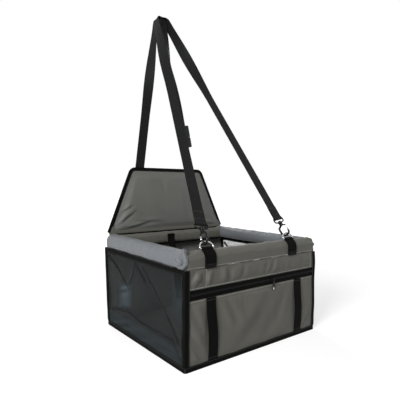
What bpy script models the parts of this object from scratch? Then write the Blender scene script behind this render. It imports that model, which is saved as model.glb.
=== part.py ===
"""Pet booster seat: a soft box with a tube-framed padded rim, mesh sides, a zipped front pocket, a folding
padded back flap, and webbing straps that hang it from a car seat's headrest.

Units are metres and +Z is up. The origin is on the underside of the base, X runs along the front, and the
front faces -Y. Run it with: blender --background --python part.py
"""

import math

import bmesh
import bpy
import numpy as np
from mathutils import Matrix

# Driving sizes of the box
SEAT_WIDTH = 0.400
SEAT_DEPTH = 0.360
WALL_HEIGHT = 0.199
BASE_SETBACK = 0.018
FABRIC = 0.0012
MESH_THICKNESS = 0.0010
POCKET_GAP = 0.0010
TOUCH = 0.0003

# Rim: fabric rolls round a frame of tubes and corner elbows
ROLL_DIAMETER = 0.035
BAND_HEIGHT = 0.031
BAND_CORNER = 0.011
TUBE_DIAMETER = 0.018
TUBE_WALL = 0.0015
ELBOW_WALL = 0.0020
ELBOW_LEG = 0.032
ELBOW_FLOOR = 0.011

# Binding tape round the edges
BINDING_WIDTH = 0.011
BINDING_TAPE = 0.0012

# Base
BOARD_THICKNESS = 0.003
BOARD_INSET = 0.004
PAD_INSET = 0.009
PAD_EDGE_HEIGHT = 0.014
PAD_CROWN = 0.008
PAD_DRAW_IN = 0.018
PAD_SIDE_SHARES = ((0.965, 0.0), (0.995, 0.25), (1.0, 0.5), (0.993, 0.78), (0.972, 1.0))
PAD_TOP_SHARES = (0.90, 0.76, 0.56, 0.32, 0.10)

# Creases of the mesh sides, from one end to the other in shares of the length and the height
CREASE_DEPTH = 0.005
CREASE_HALF_WIDTH = 0.022
CREASE_SHARES = (((0.58, 0.97), (0.05, 0.25)), ((0.96, 0.97), (0.72, 0.62)), ((0.74, 0.62), (0.62, 0.94)))

# Pocket zip
ZIP_CENTRE_HEIGHT = 0.149
ZIP_WIDTH = 0.020
ZIP_TEETH_WIDTH = 0.0044
ZIP_TEETH_PROUD = 0.0014
SLIDER_X = 0.045
SLIDER_LENGTH = 0.010
SLIDER_WALL = 0.0016
BRIDGE_WIDTH = 0.0016
BRIDGE_REACH = 0.0018
BRIDGE_THICKNESS = 0.0012
BRIDGE_HEIGHT = 0.0086
PULL_LENGTH = 0.026
PULL_WIDTH = 0.006
PULL_THICKNESS = 0.0010
PULL_HOLE_WIDTH = 0.0028
PULL_HOLE_LENGTH = 0.0056
PULL_PIVOT_OFFSET = 0.0012

# Webbing sewn on the pocket
POCKET_WEB_WIDTH = 0.025
POCKET_WEB_INSET = 0.066
POCKET_WEB_BOW = 0.003

# Hanging straps
STRAP_WIDTH = 0.028
STRAP_THICKNESS = 0.0016
SEWN_END = 0.034
REAR_ARCH_RADIUS = 0.014
STRAP_LAP = 0.0007
ARCH_X = -0.008
ARCH_HEIGHT = 0.8345
REAR_ARCH_BEHIND = 0.045
FRONT_ARCH_AHEAD = 0.013
FRONT_FLAT = 0.405
REAR_LEFT_FLAT = 0.322
TWIST_CLEARANCE = 0.0485
REAR_LEFT_INSET = 0.080
REAR_RIGHT_INSET = 0.086
REAR_SEAM_LOW = 0.204
REAR_SEAM_HIGH = 0.224
REAR_BEND = 0.006

# Ring tabs and D rings on the front of the rim
TAB_LEFT_INSET = 0.061
TAB_RIGHT_INSET = 0.088
TAB_THICKNESS = 0.0030
TAB_WRAP = math.radians(72)
RING_WIRE = 0.0032
RING_HALF_BAR = 0.0172
RING_CORNER = 0.0030
RING_HEIGHT = 0.015
RING_LEAN = math.radians(33)

# Swivel snap hooks
EYE_WIRE = 0.0034
EYE_HALF_WIDTH = 0.0168
EYE_HEIGHT = 0.0115
EYE_SHOULDER = 0.0065
EYE_FOOT = 0.005
BOSS_RADIUS = 0.0048
BOSS_HALF_HEIGHT = 0.003
STEM_RADIUS = 0.0024
STEM_HEAD_RADIUS = 0.0040
STEM_HEAD_HEIGHT = 0.0018
COLLAR_HEIGHT = 0.0040
BOW_WIRE = 0.0052
BOW_RADIUS = 0.0092
BOW_NECK_DROP = 0.0025
BOW_SHOULDER = 0.0135
BOW_CENTRE = 0.0240
MOUTH_TOP = 0.0125
MOUTH_BOTTOM = 0.0220
GATE_WIRE = 0.0034
STUB_DROP = 0.0015
WIRE_PLAY = 0.0009
HOOK_TURN_LEFT = math.radians(95)
HOOK_TURN_RIGHT = math.radians(-42)

# Side release buckle on the right rear strap
BUCKLE_HEIGHT = 0.505
BUCKLE_WIDTH = 0.038
BUCKLE_THICKNESS = 0.012
BUCKLE_CORNER = 0.003
FEMALE_LENGTH = 0.036
MALE_LENGTH = 0.030
BUCKLE_WALL = 0.0024
SOCKET_LENGTH = 0.027
WEB_OFFSET = 0.0036
PRONG_LENGTH = 0.024
PRONG_WIDTH = 0.0055
PRONG_THICKNESS = 0.0040
PRONG_ROOT = 0.002
GUIDE_WIDTH = 0.006
BUTTON_LENGTH = 0.012

# Back flap
FLAP_BOTTOM_INSET = 0.003
FLAP_TOP_INSET = 0.078
FLAP_LENGTH = 0.178
FLAP_CORNER = 0.022
FLAP_LEAN = math.radians(4.5)
FLAP_EDGE = 0.0044
FLAP_FRONT_CROWN = 0.0055
FLAP_BACK_CROWN = 0.0015
FLAP_BINDING_WIDTH = 0.010
FLAP_BINDING_THICKNESS = 0.0050
FLAP_HINGE_INSET = 0.004
FLAP_HINGE_RISE = 0.0035
FLAP_SEAM = 0.0016

# Tether inside the box, with its hanging and lying parts in shares of its reach and its drop
TETHER_X = -0.018
TETHER_WIDTH = 0.022
TETHER_TOP = 0.226
TETHER_SEWN = 0.014
TETHER_KNEE_Y = 0.098
TETHER_END_Y = 0.030
TETHER_HANG_SHARES = ((0.22, 0.155), (0.57, 0.367), (0.87, 0.778))
TETHER_LIE_SHARES = ((0.18, 0.067), (0.56, 0.0055))

# Values that follow from the sizes above
HALF_WIDTH = SEAT_WIDTH / 2
POCKET_WEB_X = HALF_WIDTH - POCKET_WEB_INSET
REAR_LEFT_X = REAR_LEFT_INSET - HALF_WIDTH
REAR_RIGHT_X = HALF_WIDTH - REAR_RIGHT_INSET
TAB_LEFT_X = TAB_LEFT_INSET - HALF_WIDTH
TAB_RIGHT_X = HALF_WIDTH - TAB_RIGHT_INSET
FRONT_ARCH_RADIUS = (REAR_ARCH_RADIUS + STRAP_THICKNESS + STRAP_LAP) / math.cos(RING_LEAN)
FLAP_BOTTOM_HALF = HALF_WIDTH - FLAP_BOTTOM_INSET
FLAP_TOP_HALF = HALF_WIDTH - FLAP_TOP_INSET
FRONT_Y = -SEAT_DEPTH / 2
BACK_Y = SEAT_DEPTH / 2
REAR_ARCH_Y = BACK_Y + REAR_ARCH_BEHIND
FRONT_ARCH_Y = REAR_ARCH_Y - FRONT_ARCH_AHEAD
ROLL_RADIUS = ROLL_DIAMETER / 2
RIM_Z = WALL_HEIGHT + ROLL_RADIUS
FRONT_ROLL_Y = FRONT_Y + ROLL_RADIUS
BACK_BAND_Y = BACK_Y - ROLL_RADIUS
SIDE_ROLL_X = HALF_WIDTH - ROLL_RADIUS
SOCKET_RADIUS = TUBE_DIAMETER / 2 + TOUCH
ELBOW_RADIUS = SOCKET_RADIUS + ELBOW_WALL
BORE_RADIUS = ELBOW_RADIUS + TOUCH
LINER_FRONT = FRONT_Y + FABRIC + POCKET_GAP
LINER_BACK = LINER_FRONT + FABRIC
TAPE_INNER = HALF_WIDTH + TOUCH
TAPE_OUTER = TAPE_INNER + BINDING_TAPE
TAPE_FRONT_INNER = FRONT_Y - TOUCH
TAPE_FRONT_OUTER = TAPE_FRONT_INNER - BINDING_TAPE
WALL_TOP = WALL_HEIGHT - TOUCH
BINDING_TOP = BINDING_WIDTH + TOUCH
ZIP_TOP = ZIP_CENTRE_HEIGHT + ZIP_WIDTH / 2
ZIP_BOTTOM = ZIP_CENTRE_HEIGHT - ZIP_WIDTH / 2
ZIP_END_X = HALF_WIDTH - BINDING_WIDTH
BOARD_BOTTOM = FABRIC + TOUCH
PAD_BOTTOM = BOARD_BOTTOM + BOARD_THICKNESS + TOUCH
PAD_TOP = PAD_BOTTOM + PAD_EDGE_HEIGHT + PAD_CROWN
HINGE_Y = BACK_Y - FLAP_HINGE_INSET
HINGE_Z = WALL_HEIGHT + BAND_HEIGHT + FLAP_HINGE_RISE
WEB_LOOP = EYE_WIRE / 2 + TOUCH + STRAP_THICKNESS

ROUND = 16
FINE_ROUND = 12

FINISHES = {
    "grey_oxford": ((0.155, 0.152, 0.138), 0.62, 0.0),
    "blue_grey_oxford": ((0.165, 0.178, 0.195), 0.50, 0.0),
    "lining": ((0.075, 0.078, 0.080), 0.75, 0.0),
    "mesh": ((0.030, 0.034, 0.037), 0.80, 0.0),
    "binding": ((0.011, 0.011, 0.011), 0.75, 0.0),
    "webbing": ((0.016, 0.017, 0.016), 0.70, 0.0),
    "pad_fabric": ((0.110, 0.110, 0.104), 0.70, 0.0),
    "board": ((0.080, 0.080, 0.082), 0.60, 0.0),
    "frame_plastic": ((0.035, 0.035, 0.037), 0.45, 0.0),
    "black_plastic": ((0.012, 0.012, 0.013), 0.35, 0.0),
    "black_metal": ((0.020, 0.020, 0.021), 0.25, 1.0),
    "chrome": ((0.640, 0.640, 0.650), 0.15, 1.0),
}


# Helpers for meshes and objects


def clear_scene():
    for old in list(bpy.data.objects):
        bpy.data.objects.remove(old)


def finish_of(name):
    """The material of this name, made the first time it is asked for."""
    found = bpy.data.materials.get(name)
    if found:
        return found
    colour, roughness, metallic = FINISHES[name]
    made = bpy.data.materials.new(name)
    made.use_nodes = True
    shader = made.node_tree.nodes["Principled BSDF"]
    shader.inputs["Base Color"].default_value = (*colour, 1.0)
    shader.inputs["Roughness"].default_value = roughness
    shader.inputs["Metallic"].default_value = metallic
    return made


def solid(name, points, faces, finish=None, smooth=False):
    """A mesh object of these points and faces, with its faces turned outwards."""
    mesh = bpy.data.meshes.new(name)
    mesh.from_pydata([tuple(map(float, p)) for p in points], [], [tuple(map(int, f)) for f in faces])
    shape = bmesh.new()
    shape.from_mesh(mesh)
    bmesh.ops.recalc_face_normals(shape, faces=shape.faces)
    shape.to_mesh(mesh)
    shape.free()
    if smooth:
        mesh.shade_smooth()
        mesh.set_sharp_from_angle(angle=math.radians(40))
    if finish:
        mesh.materials.append(finish_of(finish))
    made = bpy.data.objects.new(name, mesh)
    bpy.context.scene.collection.objects.link(made)
    return made


def loft(name, rings, finish=None, smooth=False, ring=False):
    """A solid through like rings of points. Its ends are capped, unless the rings themselves close a ring."""
    rings = np.asarray(rings, dtype=float)
    rows, count = rings.shape[:2]
    faces = []
    for row in range(rows if ring else rows - 1):
        here = row * count
        there = (row + 1) % rows * count
        for i in range(count):
            j = (i + 1) % count
            faces.append((here + i, here + j, there + j, there + i))
    if not ring:
        faces.append(range(count))
        faces.append(range((rows - 1) * count, rows * count))
    return solid(name, rings.reshape(-1, 3), faces, finish, smooth)


def on_axis(outline, axis, at):
    """A flat outline stood square to an axis: Y and Z for X, X and Z for Y, X and Y for Z."""
    flat = np.asarray(outline, dtype=float)
    return np.insert(flat, "XYZ".index(axis), at, axis=1)


def prism(name, outline, axis, low, high, finish=None, smooth=False):
    """An outline drawn out along an axis."""
    return loft(name, [on_axis(outline, axis, low), on_axis(outline, axis, high)], finish, smooth)


def box(name, low, high, finish=None):
    """A block between two corners."""
    outline = [(low[0], low[1]), (high[0], low[1]), (high[0], high[1]), (low[0], high[1])]
    return prism(name, outline, "Z", low[2], high[2], finish)


def circle(radius, centre=(0.0, 0.0), sides=ROUND):
    turn = np.linspace(0, 2 * math.pi, sides, endpoint=False)
    return np.stack([centre[0] + radius * np.cos(turn), centre[1] + radius * np.sin(turn)], axis=1)


def arc(centre, radius, start, end, steps):
    """Points of an arc between two angles in degrees."""
    turn = np.radians(np.linspace(start, end, steps + 1))
    return np.stack([centre[0] + radius * np.cos(turn), centre[1] + radius * np.sin(turn)], axis=1)


def sheet(name, outer, inner, finish=None):
    """A thin solid between two like grids of points."""
    rows, columns = outer.shape[:2]
    size = rows * columns
    faces = []
    for i in range(rows - 1):
        for j in range(columns - 1):
            a = i * columns + j
            quad = (a, a + 1, a + columns + 1, a + columns)
            faces.append(quad)
            faces.append(tuple(size + corner for corner in quad))
    top = [j for j in range(columns)]
    right = [i * columns + columns - 1 for i in range(1, rows)]
    bottom = [(rows - 1) * columns + j for j in range(columns - 2, -1, -1)]
    left = [i * columns for i in range(rows - 2, 0, -1)]
    border = top + right + bottom + left
    for here, there in zip(border, border[1:] + border[:1]):
        faces.append((here, there, size + there, size + here))
    points = np.concatenate([outer.reshape(-1, 3), inner.reshape(-1, 3)])
    return solid(name, points, faces, finish, smooth=True)


def boolean(target, other, operation):
    """Cuts a target by another object, or joins them, and keeps the other as a hidden guide."""
    modifier = target.modifiers.new(other.name, "BOOLEAN")
    modifier.operation = operation
    modifier.object = other
    modifier.solver = "EXACT"
    other.hide_render = True
    other.display_type = "WIRE"


def cut(target, cutter):
    boolean(target, cutter, "DIFFERENCE")


def join(target, other):
    boolean(target, other, "UNION")


def rod(name, start, end, radius, finish=None, sides=ROUND):
    """A round bar between two points."""
    start = np.array(start, dtype=float)
    end = np.array(end, dtype=float)
    along = unit(end - start)
    side = unit(np.cross(along, (0.0, 0.0, 1.0) if abs(along[2]) < 0.9 else (1.0, 0.0, 0.0)))
    across = np.cross(along, side)
    ring = [radius * (c * side + s * across) for c, s in circle(1.0, sides=sides)]
    return loft(name, [start + ring, end + ring], finish, smooth=True)


def wire(name, route, radius, finish, closed=False):
    """A round wire along a route in the XZ plane, mitred at its corners: eight-sided rings square to it."""
    route = np.asarray(route, dtype=float)
    before = np.roll(route, 1, axis=0)
    after = np.roll(route, -1, axis=0)
    if not closed:
        before[0] = 2 * route[0] - route[1]
        after[-1] = 2 * route[-1] - route[-2]
    into = unit(route - before)
    out = unit(after - route)
    along = unit(into + out)
    mitre = 1 / np.sum(into * along, axis=1)
    upright = np.array((0.0, 1.0, 0.0))
    side = np.cross(along, upright) * mitre[:, None]
    section = circle(radius, sides=8)
    rings = [centre + [c * wide + k * upright for c, k in section] for centre, wide in zip(route, side)]
    return loft(name, rings, finish, smooth=True, ring=closed)


def turned(name, profile, finish=None, sides=FINE_ROUND):
    """A solid turned round Z from a profile of radius and height, bottom to top."""
    rings = [np.insert(circle(radius, sides=sides), 2, height, axis=1) for radius, height in profile]
    return loft(name, rings, finish, smooth=True)


def place(made, origin, x_axis, z_axis):
    """Stands an object, made round its own origin, at a place with these directions for its X and Z."""
    y_axis = np.cross(z_axis, x_axis)
    rows = np.eye(4)
    rows[:3, :4] = np.stack([x_axis, y_axis, z_axis, origin], axis=1)
    made.matrix_world = Matrix(rows.tolist())
    return made


def unit(vector):
    vector = np.asarray(vector, dtype=float)
    return vector / np.linalg.norm(vector, axis=-1, keepdims=True)


def turn_about(vector, axis, angle):
    """A vector square to an axis, turned about it."""
    return math.cos(angle) * vector + math.sin(angle) * np.cross(axis, vector)


def smooth_route(knots, steps):
    """A smooth curve through the knots, with this many steps between each two."""
    knots = np.asarray(knots, dtype=float)
    padded = np.concatenate([[2 * knots[0] - knots[1]], knots, [2 * knots[-1] - knots[-2]]])
    route = []
    for a, b, c, d in zip(padded, padded[1:], padded[2:], padded[3:]):
        for t in np.linspace(0, 1, steps, endpoint=False):
            square = 2 * a - 5 * b + 4 * c - d
            cube = 3 * b - a - 3 * c + d
            route.append(0.5 * (2 * b + (c - a) * t + square * t**2 + cube * t**3))
    route.append(knots[-1])
    return np.array(route)


def ribbon(name, centres, widths, width, thicknesses, finish):
    """A flat strap: a rectangle at each centre, wide along its own width direction and thin across it."""
    centres = np.asarray(centres, dtype=float)
    along = unit(np.gradient(centres, axis=0))
    across = np.asarray(widths, dtype=float)
    across = unit(across - np.sum(across * along, axis=1, keepdims=True) * along)
    thin = np.cross(along, across) * np.broadcast_to(thicknesses, len(centres))[:, None] / 2
    wide = across * width / 2
    corners = [centres - wide - thin, centres + wide - thin, centres + wide + thin, centres - wide + thin]
    return loft(name, np.stack(corners, axis=1), finish, smooth=True)


# Box


def back_face(height):
    """The Y of the back panel's outer face, which leans out from the base to the rim."""
    return BACK_Y - BASE_SETBACK * (1 - height / WALL_HEIGHT)


def make_base():
    """The fabric base, the stiff board on it and the loose floor pad."""
    side = HALF_WIDTH - MESH_THICKNESS - TOUCH
    front = LINER_BACK + TOUCH
    back = back_face(0) - FABRIC - TOUCH
    box("base_panel", (-side, front, 0), (side, back, FABRIC), "binding")
    board_low = (-side + BOARD_INSET, front + BOARD_INSET, BOARD_BOTTOM)
    board_high = (side - BOARD_INSET, back - BOARD_INSET, BOARD_BOTTOM + BOARD_THICKNESS)
    box("base_board", board_low, board_high, "board")
    make_floor_pad((front + back) / 2, (back - front) / 2)


def make_floor_pad(centre_y, half_depth):
    """A crowned cushion: a rounded rectangle drawn in at its sides' middles, as rings from below to above."""
    turn = np.linspace(0, 2 * math.pi, 40, endpoint=False)
    corner_power = 0.35
    across = np.sign(np.cos(turn)) * np.abs(np.cos(turn)) ** corner_power
    along = np.sign(np.sin(turn)) * np.abs(np.sin(turn)) ** corner_power
    drawn = 1 - PAD_DRAW_IN * np.cos(2 * turn) ** 2
    reach_x = (HALF_WIDTH - PAD_INSET) * across * drawn
    reach_y = (half_depth - PAD_INSET / 2) * along * drawn
    rings = [(share, PAD_BOTTOM + rise * PAD_EDGE_HEIGHT) for share, rise in PAD_SIDE_SHARES]
    for share in PAD_TOP_SHARES:
        crown = PAD_CROWN * (1 - (share / PAD_SIDE_SHARES[-1][0]) ** 2.6)
        rings.append((share, PAD_BOTTOM + PAD_EDGE_HEIGHT + crown))
    points = []
    for share, height in rings:
        flat = np.stack([share * reach_x, centre_y + share * reach_y], axis=1)
        points.append(on_axis(flat, "Z", height))
    loft("floor_pad", points, "pad_fabric", smooth=True)


def make_front():
    """The liner behind the pocket, the pocket panel below the zip and the header strip above it."""
    back = FRONT_Y + FABRIC
    box("front_panel", (-HALF_WIDTH, LINER_FRONT, 0), (HALF_WIDTH, LINER_BACK, WALL_TOP), "lining")
    box("pocket_panel", (-HALF_WIDTH, FRONT_Y, 0), (HALF_WIDTH, back, ZIP_BOTTOM - TOUCH), "grey_oxford")
    box("header_strip", (-HALF_WIDTH, FRONT_Y, ZIP_TOP + TOUCH), (HALF_WIDTH, back, WALL_TOP), "grey_oxford")


def make_back_panel():
    outline = [
        (back_face(0) - FABRIC, 0),
        (back_face(0), 0),
        (back_face(WALL_TOP), WALL_TOP),
        (back_face(WALL_TOP) - FABRIC, WALL_TOP),
    ]
    prism("back_panel", outline, "X", -HALF_WIDTH, HALF_WIDTH, "grey_oxford")


def crease_depth(across, up):
    """How far the mesh is drawn inwards at shares of its length, from the front, and of its height.
    Each fold is a straight ridge, deepest at its middle, that fades to nothing on both sides."""
    length = SEAT_DEPTH - ROLL_DIAMETER
    point = np.stack([across * length, up * WALL_HEIGHT], axis=-1)
    depth = np.zeros(np.broadcast(across, up).shape)
    for start, end in CREASE_SHARES:
        start = np.array(start) * (length, WALL_HEIGHT)
        run = np.array(end) * (length, WALL_HEIGHT) - start
        share = np.clip(np.sum((point - start) * run, axis=-1) / np.sum(run * run), 0, 1)
        off = np.linalg.norm(point - start - share[..., None] * run, axis=-1)
        ridge = np.clip(1 - off / CREASE_HALF_WIDTH, 0, 1) * np.sin(math.pi * np.clip(share, 0.12, 0.88))
        depth = np.maximum(depth, ridge)
    edge = np.minimum(np.minimum(across, 1 - across), np.minimum(up, 1 - up))
    return CREASE_DEPTH * depth * np.clip(edge * 9, 0, 1)


def make_mesh_side(name, side):
    """A see-through side panel between the front liner and the leaning back, with its slack folds."""
    across, up = np.meshgrid(np.linspace(0, 1, 19), np.linspace(0, 1, 11), indexing="ij")
    height = up * WALL_TOP
    front = LINER_BACK + TOUCH
    back = back_face(height) - FABRIC - TOUCH
    depth = crease_depth(across, up)
    outer = np.stack([side * (HALF_WIDTH - depth), front + across * (back - front), height], axis=-1)
    inner = outer - np.array([side * MESH_THICKNESS, 0, 0])
    sheet(name, outer, inner, "mesh")


# Rim


def roll_outline(outward):
    """The section of a roll round its tube, with its lower outer quarter pulled down to the wall's seam."""
    round_part = arc((0, 0), ROLL_RADIUS, -90, 180, 21)
    square = np.concatenate([round_part, [(-ROLL_RADIUS, -ROLL_RADIUS)]])
    return square * (-outward, 1)


def band_outline():
    """The flatter section of the back band, with the upright seam that the flap is sewn to."""
    half = ROLL_RADIUS
    low = -ROLL_RADIUS
    high = low + BAND_HEIGHT
    seam_y = half - FLAP_HINGE_INSET
    seam_top = high + FLAP_HINGE_RISE - FLAP_EDGE / 2 - TOUCH
    right = half - BAND_CORNER
    left = -half + BAND_CORNER
    corner = high - BAND_CORNER
    seam = []
    for y in (seam_y + FLAP_SEAM / 2, seam_y - FLAP_SEAM / 2):
        seam.append((y, corner + math.sqrt(BAND_CORNER**2 - (y - right) ** 2)))
    before = math.degrees(math.acos((seam[0][0] - right) / BAND_CORNER))
    after = math.degrees(math.acos((seam[1][0] - right) / BAND_CORNER))
    return np.concatenate(
        [
            [(half, low)],
            arc((right, corner), BAND_CORNER, 0, before, 3),
            [(seam_y + FLAP_SEAM / 2, seam_top), (seam_y - FLAP_SEAM / 2, seam_top)],
            arc((right, corner), BAND_CORNER, after, 90, 3),
            arc((left, corner), BAND_CORNER, 90, 180, 6),
            arc((left, low + BAND_CORNER), BAND_CORNER, 180, 270, 6),
        ]
    )


def bore(name, axis, sign):
    """A cutter for the tube's way through the rolls, from corner to corner and out past the ends."""
    past = HALF_WIDTH + ROLL_RADIUS
    if axis == "X":
        y = FRONT_ROLL_Y if sign < 0 else BACK_BAND_Y
        return rod(name, (-past, y, RIM_Z), (past, y, RIM_Z), BORE_RADIUS)
    x = sign * SIDE_ROLL_X
    return rod(name, (x, FRONT_ROLL_Y, RIM_Z), (x, BACK_BAND_Y, RIM_Z), BORE_RADIUS)


def make_rolls():
    """The padded sleeves over the four tubes, bored for the tubes and their elbows."""
    bores = {("X", side): bore(f"rim_bore_x{side}", "X", side) for side in (-1, 1)}
    bores.update({("Y", side): bore(f"rim_bore_y{side}", "Y", side) for side in (-1, 1)})
    front = roll_outline(-1) + (FRONT_ROLL_Y, RIM_Z)
    front_roll = prism("front_roll", front, "X", -HALF_WIDTH, HALF_WIDTH, "grey_oxford", smooth=True)
    back = band_outline() + (BACK_BAND_Y, RIM_Z)
    back_band = prism("back_band", back, "X", -HALF_WIDTH, HALF_WIDTH, "grey_oxford", smooth=True)
    for roll, side in ((front_roll, -1), (back_band, 1)):
        cut(roll, bores["X", side])
        cut(roll, bores["Y", -1])
        cut(roll, bores["Y", 1])
    low = FRONT_ROLL_Y + ROLL_RADIUS + TOUCH
    high = BACK_BAND_Y - ROLL_RADIUS - TOUCH
    for name, side in (("left_roll", -1), ("right_roll", 1)):
        outline = roll_outline(side) + (side * SIDE_ROLL_X, RIM_Z)
        roll = prism(name, outline, "Y", low, high, "blue_grey_oxford", smooth=True)
        cut(roll, bores["Y", side])


def hollow_tube(name, start, end):
    """A plastic tube of the rim frame."""
    start = np.array(start, dtype=float)
    end = np.array(end, dtype=float)
    along = unit(end - start)
    rings = []
    for centre, radius in (
        (start, TUBE_DIAMETER / 2),
        (end, TUBE_DIAMETER / 2),
        (end, TUBE_DIAMETER / 2 - TUBE_WALL),
        (start, TUBE_DIAMETER / 2 - TUBE_WALL),
    ):
        side = np.cross(along, (0.0, 0.0, 1.0))
        rings.append([centre + c * side + s * np.array((0.0, 0.0, 1.0)) for c, s in circle(radius)])
    return loft(name, rings, "frame_plastic", smooth=True, ring=True)


def make_elbow(name, side, end):
    """A mitred corner joint whose two sockets take the ends of the tubes."""
    corner = np.array((side * SIDE_ROLL_X, FRONT_ROLL_Y if end < 0 else BACK_BAND_Y, RIM_Z))
    inward_x = np.array((-side, 0.0, 0.0))
    inward_y = np.array((0.0, -end, 0.0))
    rings = []
    for leg in (ELBOW_LEG * inward_x, None, ELBOW_LEG * inward_y):
        ring = []
        for c, s in circle(ELBOW_RADIUS):
            off = c * inward_y if leg is not None and leg[0] else c * inward_x
            if leg is None:
                off = c * (inward_x + inward_y)
            ring.append(corner + (0 if leg is None else leg) + off + (0, 0, s))
        rings.append(ring)
    elbow = loft(name, rings, "frame_plastic", smooth=True)
    for way, inward in (("x", inward_x), ("y", inward_y)):
        floor = corner + ELBOW_FLOOR * inward
        mouth = corner + (ELBOW_LEG + TUBE_WALL) * inward
        cut(elbow, rod(f"{name}_socket_{way}", floor, mouth, SOCKET_RADIUS))


def make_frame():
    """Four tubes and four elbows inside the rolls."""
    for end, word in ((-1, "front"), (1, "back")):
        for side, hand in ((-1, "left"), (1, "right")):
            make_elbow(f"{word}_{hand}_elbow", side, end)
    half_x = SIDE_ROLL_X - ELBOW_FLOOR - TOUCH
    hollow_tube("front_tube", (-half_x, FRONT_ROLL_Y, RIM_Z), (half_x, FRONT_ROLL_Y, RIM_Z))
    hollow_tube("back_tube", (-half_x, BACK_BAND_Y, RIM_Z), (half_x, BACK_BAND_Y, RIM_Z))
    front = FRONT_ROLL_Y + ELBOW_FLOOR + TOUCH
    back = BACK_BAND_Y - ELBOW_FLOOR - TOUCH
    hollow_tube("left_tube", (-SIDE_ROLL_X, front, RIM_Z), (-SIDE_ROLL_X, back, RIM_Z))
    hollow_tube("right_tube", (SIDE_ROLL_X, front, RIM_Z), (SIDE_ROLL_X, back, RIM_Z))


# Bindings


def corner_outline(side, end, edge_y):
    """The L of a binding folded round an upright edge. edge_y is the fabric's outer face."""
    outer_x, inner_x = side * TAPE_OUTER, side * TAPE_INNER
    outer_y, inner_y = edge_y + end * (TOUCH + BINDING_TAPE), edge_y + end * TOUCH
    stop_x = outer_x - side * BINDING_WIDTH
    stop_y = outer_y - end * BINDING_WIDTH
    return [
        (stop_x, outer_y),
        (outer_x, outer_y),
        (outer_x, stop_y),
        (inner_x, stop_y),
        (inner_x, inner_y),
        (stop_x, inner_y),
    ]


def make_bindings():
    """Tape round the four upright edges, round the base, and under both side rolls."""
    for end, word in ((-1, "front"), (1, "back")):
        for side, hand in ((-1, "left"), (1, "right")):
            rings = []
            for height in (BINDING_TOP, WALL_TOP):
                edge = FRONT_Y if end < 0 else back_face(height)
                rings.append(on_axis(corner_outline(side, end, edge), "Z", height))
            loft(f"{word}_{hand}_binding", rings, "binding")
    make_base_binding()
    for side, hand in ((-1, "left"), (1, "right")):
        strip = []
        for height in (WALL_TOP - BINDING_WIDTH, WALL_TOP):
            front = TAPE_FRONT_OUTER + BINDING_WIDTH + TOUCH
            back = back_face(height) + TOUCH + BINDING_TAPE - BINDING_WIDTH - TOUCH
            inner, outer = side * TAPE_INNER, side * TAPE_OUTER
            strip.append(on_axis([(inner, front), (outer, front), (outer, back), (inner, back)], "Z", height))
        loft(f"{hand}_rim_binding", strip, "binding")


def make_base_binding():
    """The tape round the bottom edge, as one ring: outside and inside, at its foot and at its top."""
    rings = []
    for offset, height in (
        (BINDING_TAPE, 0.0),
        (BINDING_TAPE, BINDING_WIDTH),
        (0.0, BINDING_WIDTH),
        (0.0, 0.0),
    ):
        x = TAPE_INNER + offset
        front = TAPE_FRONT_INNER - offset
        back = back_face(height) + TOUCH + offset
        rings.append(on_axis([(-x, front), (x, front), (x, back), (-x, back)], "Z", height))
    loft("base_binding", rings, "binding", ring=True)


# Pocket zip and webbing


def make_zip():
    """The two tapes, the closed chain of teeth between them, and the slider with its pull."""
    outer = (FRONT_Y, FRONT_Y + FABRIC)
    half_teeth = ZIP_TEETH_WIDTH / 2
    upper = (ZIP_CENTRE_HEIGHT + half_teeth + TOUCH, ZIP_TOP)
    lower = (ZIP_BOTTOM, ZIP_CENTRE_HEIGHT - half_teeth - TOUCH)
    box("zip_tape_upper", (-HALF_WIDTH, outer[0], upper[0]), (HALF_WIDTH, outer[1], upper[1]), "binding")
    box("zip_tape_lower", (-HALF_WIDTH, outer[0], lower[0]), (HALF_WIDTH, outer[1], lower[1]), "binding")
    teeth_front = FRONT_Y - ZIP_TEETH_PROUD
    teeth_low = (-ZIP_END_X + TOUCH, teeth_front, ZIP_CENTRE_HEIGHT - half_teeth)
    teeth_high = (ZIP_END_X - TOUCH, outer[1], ZIP_CENTRE_HEIGHT + half_teeth)
    box("zip_teeth", teeth_low, teeth_high, "black_plastic")
    plate = make_slider(teeth_front, half_teeth)
    make_pull(plate)


def make_slider(teeth_front, half_teeth):
    """A channel that rides over the teeth, with the bridge that holds the pull. Returns its plate's face."""
    inside = teeth_front - TOUCH
    plate = inside - SLIDER_WALL
    foot = FRONT_Y - TOUCH
    inner = half_teeth + TOUCH
    outer = inner + SLIDER_WALL
    channel = [
        (foot, outer),
        (foot, inner),
        (inside, inner),
        (inside, -inner),
        (foot, -inner),
        (foot, -outer),
        (plate, -outer),
        (plate, outer),
    ]
    outline = np.array(channel) + (0, ZIP_CENTRE_HEIGHT)
    slider = prism(
        "zip_slider", outline, "X", SLIDER_X - SLIDER_LENGTH / 2, SLIDER_X + SLIDER_LENGTH / 2, "black_metal"
    )
    far = plate - BRIDGE_REACH
    half = BRIDGE_HEIGHT / 2
    post = BRIDGE_THICKNESS
    arch = [
        (plate + SLIDER_WALL / 2, half),
        (plate + SLIDER_WALL / 2, half - post),
        (far, half - post),
        (far, post - half),
        (plate + SLIDER_WALL / 2, post - half),
        (plate + SLIDER_WALL / 2, -half),
        (far - post, -half),
        (far - post, half),
    ]
    outline = np.array(arch) + (0, ZIP_CENTRE_HEIGHT)
    bridge = prism(
        "slider_bridge", outline, "X", SLIDER_X - BRIDGE_WIDTH / 2, SLIDER_X + BRIDGE_WIDTH / 2, "black_metal"
    )
    join(slider, bridge)
    return plate


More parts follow.
